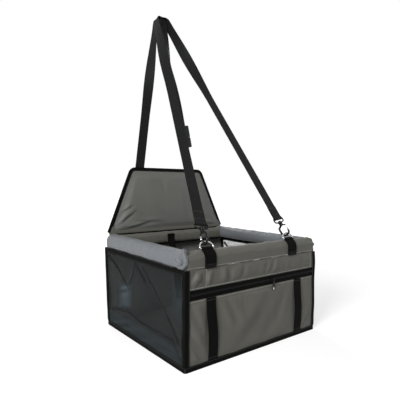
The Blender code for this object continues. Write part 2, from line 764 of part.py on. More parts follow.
def make_pull(plate):
    """The flat pull. Its top bar lies under the slider's bridge, and it hangs down in front of the pocket."""
    half = PULL_WIDTH / 2
    bar = PULL_THICKNESS / 2
    low = bar - PULL_LENGTH
    outline = np.concatenate([[(-half, bar)], arc((0, low + half), half, 180, 360, 8), [(half, bar)]])
    pull = prism("zip_pull", outline, "Y", -bar, bar, "black_metal")
    hole_half = PULL_HOLE_WIDTH / 2
    hole = box(
        "pull_hole",
        (-hole_half, -PULL_THICKNESS, -bar - PULL_HOLE_LENGTH),
        (hole_half, PULL_THICKNESS, -bar),
    )
    pivot = (SLIDER_X, plate - BRIDGE_REACH / 2, ZIP_CENTRE_HEIGHT + PULL_PIVOT_OFFSET)
    pull.location = pivot
    hole.location = pivot
    cut(pull, hole)


def make_pocket_webs():
    """Two webbing straps sewn from the zip down to the base, standing a little off the pocket between."""
    heights = np.linspace(BINDING_TOP, ZIP_BOTTOM - TOUCH, 9)
    share = (heights - heights[0]) / (heights[-1] - heights[0])
    for name, side in (("pocket_web_left", -1), ("pocket_web_right", 1)):
        route = np.zeros((len(heights), 3))
        route[:, 0] = side * POCKET_WEB_X
        route[:, 1] = FRONT_Y - TOUCH - STRAP_THICKNESS / 2 - POCKET_WEB_BOW * np.sin(math.pi * share) ** 2
        route[:, 2] = heights
        ribbon(name, route, [(1, 0, 0)] * len(route), POCKET_WEB_WIDTH, STRAP_THICKNESS, "webbing")


# Ring tabs and rings


def ring_bar_centre(x):
    """Where a D ring's straight bar lies: over the front roll, clear of it by the tab's loop."""
    reach = ROLL_RADIUS + TOUCH + RING_WIRE / 2 + TOUCH + TAB_THICKNESS / 2
    return np.array((x, FRONT_ROLL_Y - reach * math.cos(TAB_WRAP), RIM_Z + reach * math.sin(TAB_WRAP)))


def make_ring_tab(name, x):
    """A doubled webbing tab: up the front of the rim, over it, and round the ring's bar."""
    inside = ROLL_RADIUS + TOUCH
    outside = inside + TAB_THICKNESS
    bar = ring_bar_centre(x)[1:] - (FRONT_ROLL_Y, RIM_Z)
    end = RING_WIRE / 2 + TOUCH + TAB_THICKNESS / 2
    wrap = 180 - math.degrees(TAB_WRAP)
    short = 12
    outline = np.concatenate(
        [
            [(-outside, -ROLL_RADIUS)],
            arc((0, 0), outside, 180, wrap + short, 8),
            arc(bar, end, wrap + 60, wrap - 150, 9),
            arc((0, 0), inside, wrap + 4, 180, 8),
            [(-inside, -ROLL_RADIUS)],
        ]
    )
    outline = outline + (FRONT_ROLL_Y, RIM_Z)
    tab = prism(name, outline, "X", x - STRAP_WIDTH / 2, x + STRAP_WIDTH / 2, "webbing", smooth=True)
    reach = np.array((STRAP_WIDTH, 0, 0))
    centre = ring_bar_centre(x)
    cut(tab, rod(f"{name}_eye", centre - reach, centre + reach, RING_WIRE / 2 + TOUCH, sides=FINE_ROUND))


def ring_route():
    """A D: a straight bar along X with small corners, and half an ellipse above it."""
    corner = RING_HALF_BAR - RING_CORNER
    right = arc((corner, RING_CORNER), RING_CORNER, -90, 0, 3)
    arch = arc((0, 0), 1.0, 0, 180, 14)[1:-1] * (RING_HALF_BAR, RING_HEIGHT - RING_CORNER) + (0, RING_CORNER)
    left = arc((-corner, RING_CORNER), RING_CORNER, 180, 270, 3)
    flat = np.concatenate([right, arch, left])
    return on_axis(flat, "Y", 0.0)


def make_ring(name, x):
    ring = wire(name, ring_route(), RING_WIRE / 2, "chrome", closed=True)
    upward = np.array((0.0, math.sin(RING_LEAN), math.cos(RING_LEAN)))
    place(ring, ring_bar_centre(x), np.array((1.0, 0.0, 0.0)), upward)


def ring_top(x):
    """The middle of the ring's arch, where its hook pulls."""
    return ring_bar_centre(x) + RING_HEIGHT * np.array((0.0, math.sin(RING_LEAN), math.cos(RING_LEAN)))


# Hanging straps


class Loop:
    """A taut strap's route from one fixing, over a round support, down to another, all in one plane.
    Each strand is flat for a stretch above its fixing and then turns, towards one way or the other."""

    def __init__(self, left, right, centre, radius):
        self.centre = np.asarray(centre, dtype=float)
        self.radius = radius
        self.flats = {}
        self.ways = {}
        self.normal = unit(np.cross(left - self.centre, right - self.centre))
        self.fixings = {-1: left, 1: right}
        self.tangents = {side: self.tangent(side) for side in (-1, 1)}
        self.facing = self.normal if self.normal[1] < 0 else -self.normal

    def tangent(self, side):
        reach = self.fixings[side] - self.centre
        distance = np.linalg.norm(reach)
        along = reach / distance
        outward = side * np.cross(self.normal, along)
        swing = math.acos(self.radius / distance)
        return self.centre + self.radius * (math.cos(swing) * along + math.sin(swing) * outward)

    def twist(self, side, flat, way):
        self.flats[side] = flat
        self.ways[side] = way

    def up(self, side):
        return unit(self.tangents[side] - self.fixings[side])

    def across(self, side):
        """The direction in the loop's plane and square to the strand that points towards +X."""
        square = unit(np.cross(self.facing, self.up(side)))
        return square if square[0] > 0 else -square

    def strand(self, side, start):
        """Points up one strand from a distance above its fixing, and the strap's width direction at each.
        It is flat across the loop's plane at first and then turns a quarter turn up to the support."""
        flat = self.flats[side]
        length = np.linalg.norm(self.tangents[side] - self.fixings[side])
        lower = np.linspace(start, flat, 3, endpoint=False)
        upper = np.linspace(flat, length, 24, endpoint=False)
        reach = np.concatenate([lower, upper])
        share = np.clip((reach - flat) / (length - flat), 0, 1)
        turn = (3 * share**2 - 2 * share**3) * math.pi / 2
        points = self.fixings[side] + reach[:, None] * self.up(side)
        square = self.ways[side] * self.across(side)
        widths = np.cos(turn)[:, None] * square + np.sin(turn)[:, None] * self.facing
        return points, widths

    def arch(self):
        """Points over the support, where the strap lies flat on it."""
        first = (self.tangents[-1] - self.centre) / self.radius
        last = (self.tangents[1] - self.centre) / self.radius
        wrap = math.acos(float(np.dot(first, last)))
        share = np.linspace(0, 1, 13)[:, None]
        round_part = (np.sin((1 - share) * wrap) * first + np.sin(share * wrap) * last) / math.sin(wrap)
        level = np.sin(math.pi * share)
        widths = (1 - level) * self.facing + level * np.array((0.0, -1.0, 0.0))
        return self.centre + self.radius * round_part, widths


def front_loop():
    """The front strap's route: each strand runs straight on from the hook on its ring, and over the support
    it lies on the rear strap."""
    centre = (ARCH_X, FRONT_ARCH_Y, ARCH_HEIGHT)
    loop = Loop(ring_top(TAB_LEFT_X), ring_top(TAB_RIGHT_X), centre, FRONT_ARCH_RADIUS)
    for side in (-1, 1):
        loop.twist(side, FRONT_FLAT, 1)
    return loop


def rear_loop():
    """The rear strap's route, from the seams on the back of the band."""
    y = BACK_Y + TOUCH + STRAP_THICKNESS / 2
    left = np.array((REAR_LEFT_X, y, REAR_SEAM_HIGH))
    right = np.array((REAR_RIGHT_X, y, REAR_SEAM_HIGH))
    loop = Loop(left, right, (ARCH_X, REAR_ARCH_Y, ARCH_HEIGHT), REAR_ARCH_RADIUS)
    loop.twist(-1, REAR_LEFT_FLAT, 1)
    loop.twist(1, socket_top(loop) + TWIST_CLEARANCE, -1)
    return loop


def buckle_reach(loop):
    """From the right rear strand's fixing up to the buckle's middle."""
    return (BUCKLE_HEIGHT - loop.fixings[1][2]) / loop.up(1)[2]


def socket_top(loop):
    """From the right rear strand's fixing up to where its strap leaves the buckle's socket."""
    return buckle_reach(loop) + SOCKET_LENGTH + BUCKLE_WALL


def web_loop(strap, name, centre, across, width):
    """Wraps a strap's end round an eye's bar: a slightly narrower round end is joined on, and the hole cut."""
    reach = across * (width / 2 - TOUCH)
    join(strap, rod(f"{name}_end", centre - reach, centre + reach, WEB_LOOP, sides=FINE_ROUND))
    bar = EYE_WIRE / 2 + TOUCH
    cut(strap, rod(f"{name}_hole", centre - 2 * reach, centre + 2 * reach, bar, sides=FINE_ROUND))


def eye_distance():
    """From the ring's wire up to the bar of the hook's eye."""
    return BOW_CENTRE + wire_drop() + EYE_HEIGHT


def wire_drop():
    """How far below the centre of the bow's bend the ring's wire lies, with a little play under it."""
    return BOW_RADIUS - BOW_WIRE / 2 - RING_WIRE / 2 - WIRE_PLAY


def make_front_strap():
    """One strap from hook to hook over the support, folded back and sewn double at both ends."""
    loop = front_loop()
    start = eye_distance()
    seam_end = start + SEWN_END
    routes = {}
    turns = {}
    for side in (-1, 1):
        points, widths = loop.strand(side, start)
        seam = loop.fixings[side] + np.outer((seam_end, seam_end + STRAP_THICKNESS), loop.up(side))
        routes[side] = np.concatenate([points[:1], seam, points[1:]])
        turns[side] = np.concatenate([widths[:1], widths[:1], widths])
    over, over_widths = loop.arch()
    route = np.concatenate([routes[-1], over, routes[1][::-1]])
    widths = np.concatenate([turns[-1], over_widths, turns[1][::-1]])
    thickness = np.full(len(route), STRAP_THICKNESS)
    thickness[[0, 1, -1, -2]] = 2 * STRAP_THICKNESS
    strap = ribbon("front_strap", route, widths, STRAP_WIDTH, thickness, "webbing")
    for side, word in ((-1, "left"), (1, "right")):
        centre = loop.fixings[side] + start * loop.up(side)
        web_loop(strap, f"front_strap_{word}", centre, loop.across(side), STRAP_WIDTH)


def buckle_place():
    """The buckle's middle on the right rear strand, the strand's direction and its width direction."""
    loop = rear_loop()
    foot = loop.fixings[1]
    up = loop.up(1)
    middle = foot + up * buckle_reach(loop)
    return middle, up, loop.across(1)


def seam_foot(x):
    """The stitched start of a rear strand, flat on the back of the band."""
    return np.array((x, BACK_Y + TOUCH + STRAP_THICKNESS / 2, REAR_SEAM_LOW))


def make_rear_straps():
    """The long rear strap, over the support to the buckle's socket, and the short one into its plug."""
    loop = rear_loop()
    left, left_widths = loop.strand(-1, REAR_BEND)
    over, over_widths = loop.arch()
    right, right_widths = loop.strand(1, socket_top(loop))
    route = np.concatenate([[seam_foot(REAR_LEFT_X), loop.fixings[-1]], left, over, right[::-1]])
    flat = np.array([(1.0, 0.0, 0.0)] * 2)
    widths = np.concatenate([flat, left_widths, over_widths, right_widths[::-1]])
    ribbon("rear_strap", route, widths, STRAP_WIDTH, STRAP_THICKNESS, "webbing")
    length = buckle_reach(loop)
    plug_end = length - BUCKLE_WALL
    reach = (REAR_BEND, length - 2 * MALE_LENGTH - SEWN_END, plug_end)
    lower = loop.fixings[1] + np.outer(reach, loop.up(1))
    route = np.concatenate([[seam_foot(REAR_RIGHT_X), loop.fixings[1]], lower])
    widths = np.concatenate([flat, np.repeat([loop.across(1)], 3, axis=0)])
    ribbon("rear_strap_lower", route, widths, STRAP_WIDTH, STRAP_THICKNESS, "webbing")


def local_block(name, x, y, z):
    """A block given by its spans along a buckle's or a hook's own axes."""
    return box(name, (x[0], y[0], z[0]), (x[1], y[1], z[1]))


def rounded_block(name, half_x, y, z, finish):
    """Half of the buckle: a block with rounded corners, drawn in X and Z and thick along Y."""
    low, high = z
    corner = BUCKLE_CORNER
    outline = np.concatenate(
        [
            arc((half_x - corner, low + corner), corner, -90, 0, 4),
            arc((half_x - corner, high - corner), corner, 0, 90, 4),
            arc((corner - half_x, high - corner), corner, 90, 180, 4),
            arc((corner - half_x, low + corner), corner, 180, 270, 4),
        ]
    )
    return prism(name, outline, "Y", y[0], y[1], finish)


def make_buckle():
    """A side release buckle: the socket half above and the plug half below, with its two sprung prongs."""
    middle, up, across = buckle_place()
    half = BUCKLE_WIDTH / 2
    thick = (-BUCKLE_THICKNESS / 2, BUCKLE_THICKNESS / 2)
    slot_x = (-STRAP_WIDTH / 2 - TOUCH, STRAP_WIDTH / 2 + TOUCH)
    slot_y = (WEB_OFFSET - STRAP_THICKNESS / 2 - TOUCH, WEB_OFFSET + STRAP_THICKNESS / 2 + TOUCH)
    hollow_x = (-half + BUCKLE_WALL, half - BUCKLE_WALL)
    hollow_y = (-PRONG_THICKNESS / 2 - 2 * TOUCH, PRONG_THICKNESS / 2 + 2 * TOUCH)
    web_end = SOCKET_LENGTH + BUCKLE_WALL - TOUCH

    female = rounded_block("buckle_socket", half, thick, (0.0, FEMALE_LENGTH), "black_plastic")
    button = (SOCKET_LENGTH - PRONG_WIDTH - BUTTON_LENGTH, SOCKET_LENGTH - PRONG_WIDTH)
    cutters = [
        local_block("socket_hollow", hollow_x, hollow_y, (-BUCKLE_WALL, SOCKET_LENGTH)),
        local_block("socket_slot", slot_x, slot_y, (web_end, FEMALE_LENGTH + BUCKLE_WALL)),
        local_block("socket_window", (-half - BUCKLE_WALL, half + BUCKLE_WALL), hollow_y, button),
    ]
    origin = middle - WEB_OFFSET * np.cross(up, across)
    for piece in [female, *cutters]:
        place(piece, origin, across, up)
    for cutter in cutters:
        cut(female, cutter)

    male = rounded_block("buckle_plug", half, thick, (-MALE_LENGTH, -TOUCH), "black_plastic")
    slot = local_block("plug_slot", slot_x, slot_y, (-MALE_LENGTH - BUCKLE_WALL, BUCKLE_WALL))
    prong_y = (-PRONG_THICKNESS / 2, PRONG_THICKNESS / 2)
    prong_z = (-PRONG_ROOT, PRONG_LENGTH)
    prong_out = hollow_x[1] - 2 * TOUCH
    prong_in = prong_out - PRONG_WIDTH
    parts = [
        local_block("plug_guide", (-GUIDE_WIDTH / 2, GUIDE_WIDTH / 2), prong_y, prong_z),
        local_block("plug_prong_left", (-prong_out, -prong_in), prong_y, prong_z),
        local_block("plug_prong_right", (prong_in, prong_out), prong_y, prong_z),
    ]
    for piece in [male, slot, *parts]:
        place(piece, origin, across, up)
    for part in parts:
        join(male, part)
    cut(male, slot)


# Snap hooks


def eye_route():
    """The eye's loop: a bar on top for the webbing, and shoulders that narrow to the swivel."""
    wide, high = EYE_HALF_WIDTH, EYE_HEIGHT
    corner = EYE_WIRE
    right = np.concatenate(
        [
            [(EYE_FOOT, 0.0), (wide - corner / 2, EYE_SHOULDER - corner), (wide, EYE_SHOULDER)],
            arc((wide - corner / 2, high - corner / 2), corner / 2, 0, 90, 3),
        ]
    )
    left = right[::-1] * (-1, 1)
    return on_axis(np.concatenate([right, left]), "Y", 0.0)


def bow_route():
    """The hook's bow in its own plane: out from the collar, down the back, round the bend, up to the nose."""
    start = -BOSS_HALF_HEIGHT - COLLAR_HEIGHT
    knots = [
        (0.0, start + COLLAR_HEIGHT / 4),
        (-BOW_RADIUS / 2, start - BOW_NECK_DROP),
        (-BOW_RADIUS, -BOW_SHOULDER),
        (-BOW_RADIUS, -BOW_CENTRE),
    ]
    shoulder = smooth_route(knots, 4)
    bend = arc((0, -BOW_CENTRE), BOW_RADIUS, 180, 360, 10)[1:]
    return on_axis(np.concatenate([shoulder, bend, [(BOW_RADIUS, -MOUTH_BOTTOM)]]), "Y", 0.0)


def make_hook(prefix, wire_point, up, across, turn):
    """A swivel snap hook hung by its eye: the eye, the hook that turns in it, and the sprung gate.
    wire_point is where the ring lies in the bow, up runs to the eye and across is the eye bar's direction."""
    origin = wire_point + (BOW_CENTRE + wire_drop()) * up
    eye = wire(f"{prefix}_eye", eye_route(), EYE_WIRE / 2, "black_metal", closed=True)
    half = BOSS_HALF_HEIGHT
    boss = turned(f"{prefix}_boss", [(BOSS_RADIUS, -half), (BOSS_RADIUS, half)])
    bore_radius = STEM_RADIUS + TOUCH
    hole = turned(f"{prefix}_swivel_hole", [(bore_radius, -2 * half), (bore_radius, 2 * half)])
    for piece in (eye, boss, hole):
        place(piece, origin, across, up)
    join(eye, boss)
    cut(eye, hole)

    plane = turn_about(across, up, turn)
    below = -half - TOUCH
    above = half + TOUCH
    profile = [
        (STEM_RADIUS, below - COLLAR_HEIGHT - BOW_WIRE / 4),
        (BOSS_RADIUS * 0.8, below - COLLAR_HEIGHT),
        (BOSS_RADIUS, below - COLLAR_HEIGHT / 2),
        (BOSS_RADIUS * 0.9, below),
        (STEM_RADIUS, below),
        (STEM_RADIUS, above),
        (STEM_HEAD_RADIUS, above),
        (STEM_HEAD_RADIUS, above + STEM_HEAD_HEIGHT),
    ]
    hook = turned(f"{prefix}_hook", profile, "black_metal")
    bow = wire(f"{prefix}_bow", bow_route(), BOW_WIRE / 2, "black_metal")
    stub_end = -MOUTH_TOP + 2 * TOUCH + GATE_WIRE / 2
    stub_route = [
        (0.0, 0.0, below - COLLAR_HEIGHT / 2),
        (BOW_RADIUS * 0.8, 0.0, stub_end + STUB_DROP),
        (BOW_RADIUS, 0.0, stub_end),
    ]
    stub = wire(f"{prefix}_stub", stub_route, GATE_WIRE / 2, "black_metal")
    for piece in (hook, bow, stub):
        place(piece, origin, plane, up)
    join(hook, bow)
    join(hook, stub)

    gate_length = MOUTH_BOTTOM - MOUTH_TOP - TOUCH
    gate = rod(f"{prefix}_gate", (0, 0, 0), (0, 0, -gate_length), GATE_WIRE / 2, "chrome", sides=FINE_ROUND)
    place(gate, origin + BOW_RADIUS * plane - MOUTH_TOP * up, plane, up)


def make_front_hooks():
    loop = front_loop()
    for side, prefix, turn in ((-1, "left", HOOK_TURN_LEFT), (1, "right", HOOK_TURN_RIGHT)):
        make_hook(prefix, loop.fixings[side], loop.up(side), loop.across(side), turn)


# Flap


def flap_edge(inset):
    """The flap's free edge, drawn in by an inset: up the right side, round its corner, and down the left."""
    run = np.array((FLAP_TOP_HALF - FLAP_BOTTOM_HALF, FLAP_LENGTH))
    tilt = math.atan2(-run[0], run[1])
    lift = FLAP_CORNER
    centre_y = FLAP_LENGTH - lift
    centre_x = FLAP_BOTTOM_HALF - centre_y * math.tan(tilt) - lift / math.cos(tilt)
    foot = (FLAP_BOTTOM_HALF - inset / math.cos(tilt), 0.0)
    corner = arc((centre_x, centre_y), lift - inset, math.degrees(tilt), 90, 8)
    right = np.concatenate([[foot], corner])
    return np.concatenate([right, right[::-1] * (-1, 1)])


def stand_on_hinge(made):
    made.location = (0.0, HINGE_Y, HINGE_Z)
    made.rotation_euler = (-FLAP_LEAN, 0.0, 0.0)
    return made


def make_flap():
    """The padded flap and the tape round its free edge. Both turn about the seam on the back band."""
    rise = FLAP_EDGE / 2 + TOUCH
    outer = flap_edge(0.0)
    inner = flap_edge(FLAP_BINDING_WIDTH)[::-1]
    outline = np.concatenate([outer, inner])
    outline[outline[:, 1] < rise, 1] = rise
    half = FLAP_BINDING_THICKNESS / 2
    stand_on_hinge(prism("flap_binding", outline, "Y", -half, half, "binding"))
    make_flap_pad()


def make_flap_pad():
    """The quilted pad: thin at its edges and crowned between, with a rounded lower edge on the hinge."""
    edge = flap_edge(FLAP_BINDING_WIDTH + TOUCH)
    right = edge[: len(edge) // 2]
    bead = FLAP_EDGE / 2
    body = np.linspace(0.0, right[-1, 1], 15)[1:-1]
    heights = np.concatenate([-bead * np.cos(np.radians([10, 35, 60])), [0.0], body, right[1:, 1]])
    heights = np.unique(np.round(heights, 6))
    halves = np.interp(heights, right[:, 1], right[:, 0])
    rounding = np.sqrt(np.clip(1 - np.minimum(heights, 0) ** 2 / bead**2, 0, 1))
    across = np.linspace(-1, 1, 19)
    share = np.clip(heights / right[-1, 1], 0, 1)
    crown = np.sin(math.pi * share)[:, None] ** 1.2 * (1 - across[None, :] ** 2) ** 0.7
    edge_half = (bead * rounding)[:, None]
    x = halves[:, None] * across[None, :]
    z = np.repeat(heights[:, None], len(across), axis=1)
    front = np.stack([x, -edge_half - FLAP_FRONT_CROWN * crown, z], axis=-1)
    back = np.stack([x, edge_half + FLAP_BACK_CROWN * crown, z], axis=-1)
    stand_on_hinge(sheet("flap_pad", front, back, "grey_oxford"))


# Tether


def make_tether():
    """The short inner strap from the band down to the pad, with a snap hook that lies on it."""
    lie = PAD_TOP + TOUCH + BOSS_RADIUS
    face = BACK_BAND_Y - ROLL_RADIUS - TOUCH - STRAP_THICKNESS / 2
    sewn = TETHER_TOP - TETHER_SEWN
    drop = sewn - lie
    knots = [(face, TETHER_TOP), (face, sewn)]
    knots += [(face - run * (face - TETHER_KNEE_Y), sewn - fall * drop) for run, fall in TETHER_HANG_SHARES]
    flat_run = TETHER_KNEE_Y - TETHER_END_Y
    knots += [(TETHER_KNEE_Y - run * flat_run, lie + rise * drop) for run, rise in TETHER_LIE_SHARES]
    knots.append((TETHER_END_Y, lie))
    flat = smooth_route(knots, 4)
    flat[:, 0] = np.minimum(flat[:, 0], face)
    route = np.insert(flat, 0, TETHER_X, axis=1)
    widths = np.array([(1.0, 0.0, 0.0)] * len(route))
    strap = ribbon("tether_web", route, widths, TETHER_WIDTH, STRAP_THICKNESS, "webbing")
    bar = np.array((TETHER_X, TETHER_END_Y, lie))
    across = np.array((1.0, 0.0, 0.0))
    up = np.array((0.0, 1.0, 0.0))
    web_loop(strap, "tether", bar, across, TETHER_WIDTH)
    make_hook("tether", bar - eye_distance() * up, up, across, 0.0)


def build():
    clear_scene()
    make_base()
    make_front()
    make_back_panel()
    make_mesh_side("left_mesh", -1)
    make_mesh_side("right_mesh", 1)
    make_rolls()
    make_frame()
    make_bindings()
    make_zip()
    make_pocket_webs()
    for side, x in (("left", TAB_LEFT_X), ("right", TAB_RIGHT_X)):
        make_ring_tab(f"{side}_ring_tab", x)
        make_ring(f"{side}_ring", x)
    make_front_strap()
    make_rear_straps()
    make_buckle()
    make_front_hooks()
    make_flap()
    make_tether()


build()
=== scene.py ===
"""Pet booster seat: its fabric, webbing, zip and hardware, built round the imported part.

Units are metres and +Z is up. The front faces -Y, and every piece lies where the frame's node lies. Each new
surface is a grid of points worked out from two parameters, and its UV map is in metres of cloth.
"""

import math

import bmesh
import bpy
import numpy as np
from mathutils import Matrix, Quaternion, Vector


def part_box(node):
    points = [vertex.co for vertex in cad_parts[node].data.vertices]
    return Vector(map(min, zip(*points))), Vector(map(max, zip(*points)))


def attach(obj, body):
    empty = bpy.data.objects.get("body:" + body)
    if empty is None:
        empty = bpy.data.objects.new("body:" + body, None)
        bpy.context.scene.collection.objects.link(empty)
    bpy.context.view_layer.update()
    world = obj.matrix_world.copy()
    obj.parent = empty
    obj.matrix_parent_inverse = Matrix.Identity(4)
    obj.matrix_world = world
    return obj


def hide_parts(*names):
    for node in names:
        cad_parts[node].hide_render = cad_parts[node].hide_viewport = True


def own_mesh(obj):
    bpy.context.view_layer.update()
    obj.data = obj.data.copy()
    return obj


bl_info = {
    "name": "Pet booster seat",
    "version": (1, 0, 0),
    "blender": (4, 5, 0),
    "location": "View3D > Sidebar > Pet Seat",
    "description": "Dresses the packed pet booster seat with fabric, webbing, zip and hardware",
    "category": "Add Mesh",
}

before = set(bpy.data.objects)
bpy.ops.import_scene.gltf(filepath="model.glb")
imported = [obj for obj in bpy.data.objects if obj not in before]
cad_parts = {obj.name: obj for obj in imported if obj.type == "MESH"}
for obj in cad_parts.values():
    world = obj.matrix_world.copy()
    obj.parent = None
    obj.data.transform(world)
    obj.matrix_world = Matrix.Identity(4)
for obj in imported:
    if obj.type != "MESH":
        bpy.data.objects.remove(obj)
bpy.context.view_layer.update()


def low_high(node):
    """The two corners of a node's box."""
    low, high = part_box(node)
    return np.array(low), np.array(high)


# Places read from the frame
POCKET_LOW, POCKET_HIGH = low_high("pocket_panel")
HEADER_LOW, HEADER_HIGH = low_high("header_strip")
LINER_LOW, LINER_HIGH = low_high("front_panel")
ROLL_LOW, ROLL_HIGH = low_high("front_roll")
TEETH_LOW, TEETH_HIGH = low_high("zip_teeth")
HALF_WIDTH = float(POCKET_HIGH[0])
FRONT_Y = float(POCKET_LOW[1])
BACK_Y = -FRONT_Y
ROLL_RADIUS = float(ROLL_HIGH[2] - ROLL_LOW[2]) / 2
WALL_HEIGHT = float(ROLL_LOW[2])
WALL_TOP = float(HEADER_HIGH[2])
RIM_Z = WALL_HEIGHT + ROLL_RADIUS
ROLL_Y = FRONT_Y + ROLL_RADIUS
BAND_Y = BACK_Y - ROLL_RADIUS
ROLL_X = HALF_WIDTH - ROLL_RADIUS

# Sizes that repeat the part's
TOUCH = 0.0003
FABRIC = 0.0012
BASE_SETBACK = 0.018
BINDING_WIDTH = 0.011
BINDING_TAPE = 0.0012
MESH_THICKNESS = 0.0010
CREASE_DEPTH = 0.005
CREASE_HALF_WIDTH = 0.022
CREASE_SHARES = (((0.58, 0.97), (0.05, 0.25)), ((0.96, 0.97), (0.72, 0.62)), ((0.74, 0.62), (0.62, 0.94)))
ZIP_HEIGHT = 0.149
POCKET_WEB_X = 0.134
POCKET_WEB_WIDTH = 0.025
POCKET_WEB_BOW = 0.003
UPRIGHT_STITCHES = (-0.150, 0.183)
STRAP_WIDTH = 0.028
STRAP_THICKNESS = 0.0016
SEWN_END = 0.034
REAR_ARCH_RADIUS = 0.014
STRAP_LAP = 0.0007
ARCH_X = -0.008
ARCH_HEIGHT = 0.8345
REAR_ARCH_Y = BACK_Y + 0.045
FRONT_ARCH_Y = REAR_ARCH_Y - 0.013
FRONT_FLAT = 0.405
REAR_LEFT_FLAT = 0.322
TWIST_CLEARANCE = 0.0485
REAR_LEFT_X = -0.120
REAR_RIGHT_X = 0.114
REAR_SEAM_LOW = 0.204
REAR_SEAM_HIGH = 0.224
REAR_BEND = 0.006
TAB_LEFT_X = -0.139
TAB_RIGHT_X = 0.112
TAB_THICKNESS = 0.0030
TAB_WRAP = math.radians(72)
RING_WIRE = 0.0032
RING_HALF_BAR = 0.0172
RING_CORNER = 0.0030
RING_HEIGHT = 0.015
RING_LEAN = math.radians(33)
EYE_WIRE = 0.0034
EYE_HALF_WIDTH = 0.0168
EYE_HEIGHT = 0.0115
EYE_SHOULDER = 0.0065
EYE_FOOT = 0.005
BOSS_RADIUS = 0.0048
BOSS_HALF_HEIGHT = 0.003
STEM_RADIUS = 0.0024
STEM_HEAD_RADIUS = 0.0040
STEM_HEAD_HEIGHT = 0.0018
COLLAR_HEIGHT = 0.0040
BOW_WIRE = 0.0052
BOW_RADIUS = 0.0092
BOW_NECK_DROP = 0.0025
BOW_SHOULDER = 0.0135
BOW_CENTRE = 0.0240
MOUTH_TOP = 0.0125
MOUTH_BOTTOM = 0.0220
GATE_WIRE = 0.0034
STUB_DROP = 0.0015
WIRE_PLAY = 0.0009
HOOK_TURN_LEFT = math.radians(95)
HOOK_TURN_RIGHT = math.radians(-42)
BUCKLE_HEIGHT = 0.505
SOCKET_LENGTH = 0.027
BUCKLE_WALL = 0.0024
BUCKLE_BEVEL = 0.0016
MALE_LENGTH = 0.030
FLAP_BOTTOM_HALF = 0.197
FLAP_TOP_HALF = 0.122
FLAP_LENGTH = 0.178
FLAP_CORNER = 0.022
FLAP_LEAN = math.radians(4.5)
FLAP_EDGE = 0.0044
FLAP_BINDING_WIDTH = 0.010
FLAP_BINDING_THICKNESS = 0.0050
HINGE_Y = 0.176
HINGE_Z = 0.2335
TETHER_X = -0.018
TETHER_WIDTH = 0.022
TETHER_TOP = 0.226
TETHER_SEWN = 0.014
TETHER_KNEE_Y = 0.098
TETHER_END_Y = 0.030
TETHER_HANG_SHARES = ((0.22, 0.155), (0.57, 0.367), (0.87, 0.778))
TETHER_LIE_SHARES = ((0.18, 0.067), (0.56, 0.0055))
PAD_BOTTOM = 0.0048
PAD_TOP = 0.0268

# The camera that the photograph was fitted with
CAMERA_PLACE = (-0.6382, -0.7863, 0.3651)
CAMERA_TARGET = (-0.0268, 0.0, 0.3258)
CAMERA_ROLL = math.radians(0.44)
CAMERA_LENS = 35.604


# Sizes and colours that a user would change


def length_property(name, description, default, low=0.0):
    """A length that a user can change."""
    return bpy.props.FloatProperty(
        name=name, description=description, default=default, min=low, unit="LENGTH"
    )


def colour_property(name, description, default):
    """A colour that a user can change."""
    return bpy.props.FloatVectorProperty(
        name=name, description=description, subtype="COLOR", default=default, min=0.0, max=1.0
    )


class SeatSizes(bpy.types.PropertyGroup):
    """Sizes of the sewn detail, in metres."""

    stitch_pitch: length_property("Stitch pitch", "From one stitch to the next", 0.0034, 0.002)
    stitch_length: length_property("Stitch length", "Length of thread that shows", 0.0026, 0.001)
    stitch_radius: length_property("Stitch radius", "Half of the thread's width", 0.00050, 0.0001)
    tooth_pitch: length_property("Tooth pitch", "From one zip tooth to the next", 0.0016, 0.001)
    header_ripple: length_property("Header ripple", "Height of the header's puckers", 0.0036)
    pocket_bulge: length_property("Pocket bulge", "How far the pocket stands out", 0.0058)
    flap_wrinkle: length_property("Flap wrinkle", "Depth of the flap's wrinkles", 0.0022)
    binding_wave: length_property("Binding wave", "How far a binding wanders", 0.0006)


class SeatColours(bpy.types.PropertyGroup):
    """Base colours of the seat's finishes."""

    oxford: colour_property("Oxford", "Grey fabric", (0.100, 0.098, 0.084))
    flap: colour_property("Flap cloth", "Colour of the padded flap's cloth", (0.112, 0.114, 0.104))
    roll: colour_property("Roll", "Side rolls", (0.134, 0.143, 0.153))
    lining: colour_property("Lining", "Inner cloth", (0.080, 0.081, 0.077))
    net: colour_property("Net", "Mesh yarn", (0.013, 0.0155, 0.0165))
    # Painted light: the lighter colour that the net takes where light is painted on it.
    lit_net: colour_property("Lit net", "Net in light", (0.055, 0.075, 0.085))
    tape: colour_property("Tape", "Binding tape", (0.0022, 0.0024, 0.0020))
    webbing: colour_property("Webbing", "Strap yarn", (0.0080, 0.0088, 0.0082))
    pad: colour_property("Pad", "Floor pad", (0.110, 0.110, 0.104))
    light_thread: colour_property("Light thread", "Seams on grey", (0.340, 0.335, 0.305))
    dark_thread: colour_property("Dark thread", "Seams on black", (0.030, 0.030, 0.030))
    frame_plastic: colour_property("Frame", "Rim tubes", (0.035, 0.035, 0.037))
    black_plastic: colour_property("Plastic", "Buckle and zip", (0.007, 0.007, 0.0075))
    black_metal: colour_property("Black metal", "Hooks", (0.006, 0.006, 0.0063))
    nickel: colour_property("Nickel", "Rings and gates", (0.420, 0.420, 0.430))
    floor: colour_property("Floor", "Plain floor", (0.480, 0.480, 0.480))


# Grids and meshes


def spread(low, high, count):
    """Evenly spaced numbers, both ends counted."""
    return np.linspace(low, high, count)


def full_turn(count):
    """Angles once round, evenly, without the last."""
    return np.linspace(0, 2 * math.pi, count, endpoint=False)


def at(*parts):
    """Points from their coordinates, of which some may be single numbers."""
    return np.stack(np.broadcast_arrays(*parts), axis=-1)


def held(share):
    """A share kept between 0 and 1."""
    return np.clip(share, 0, 1)


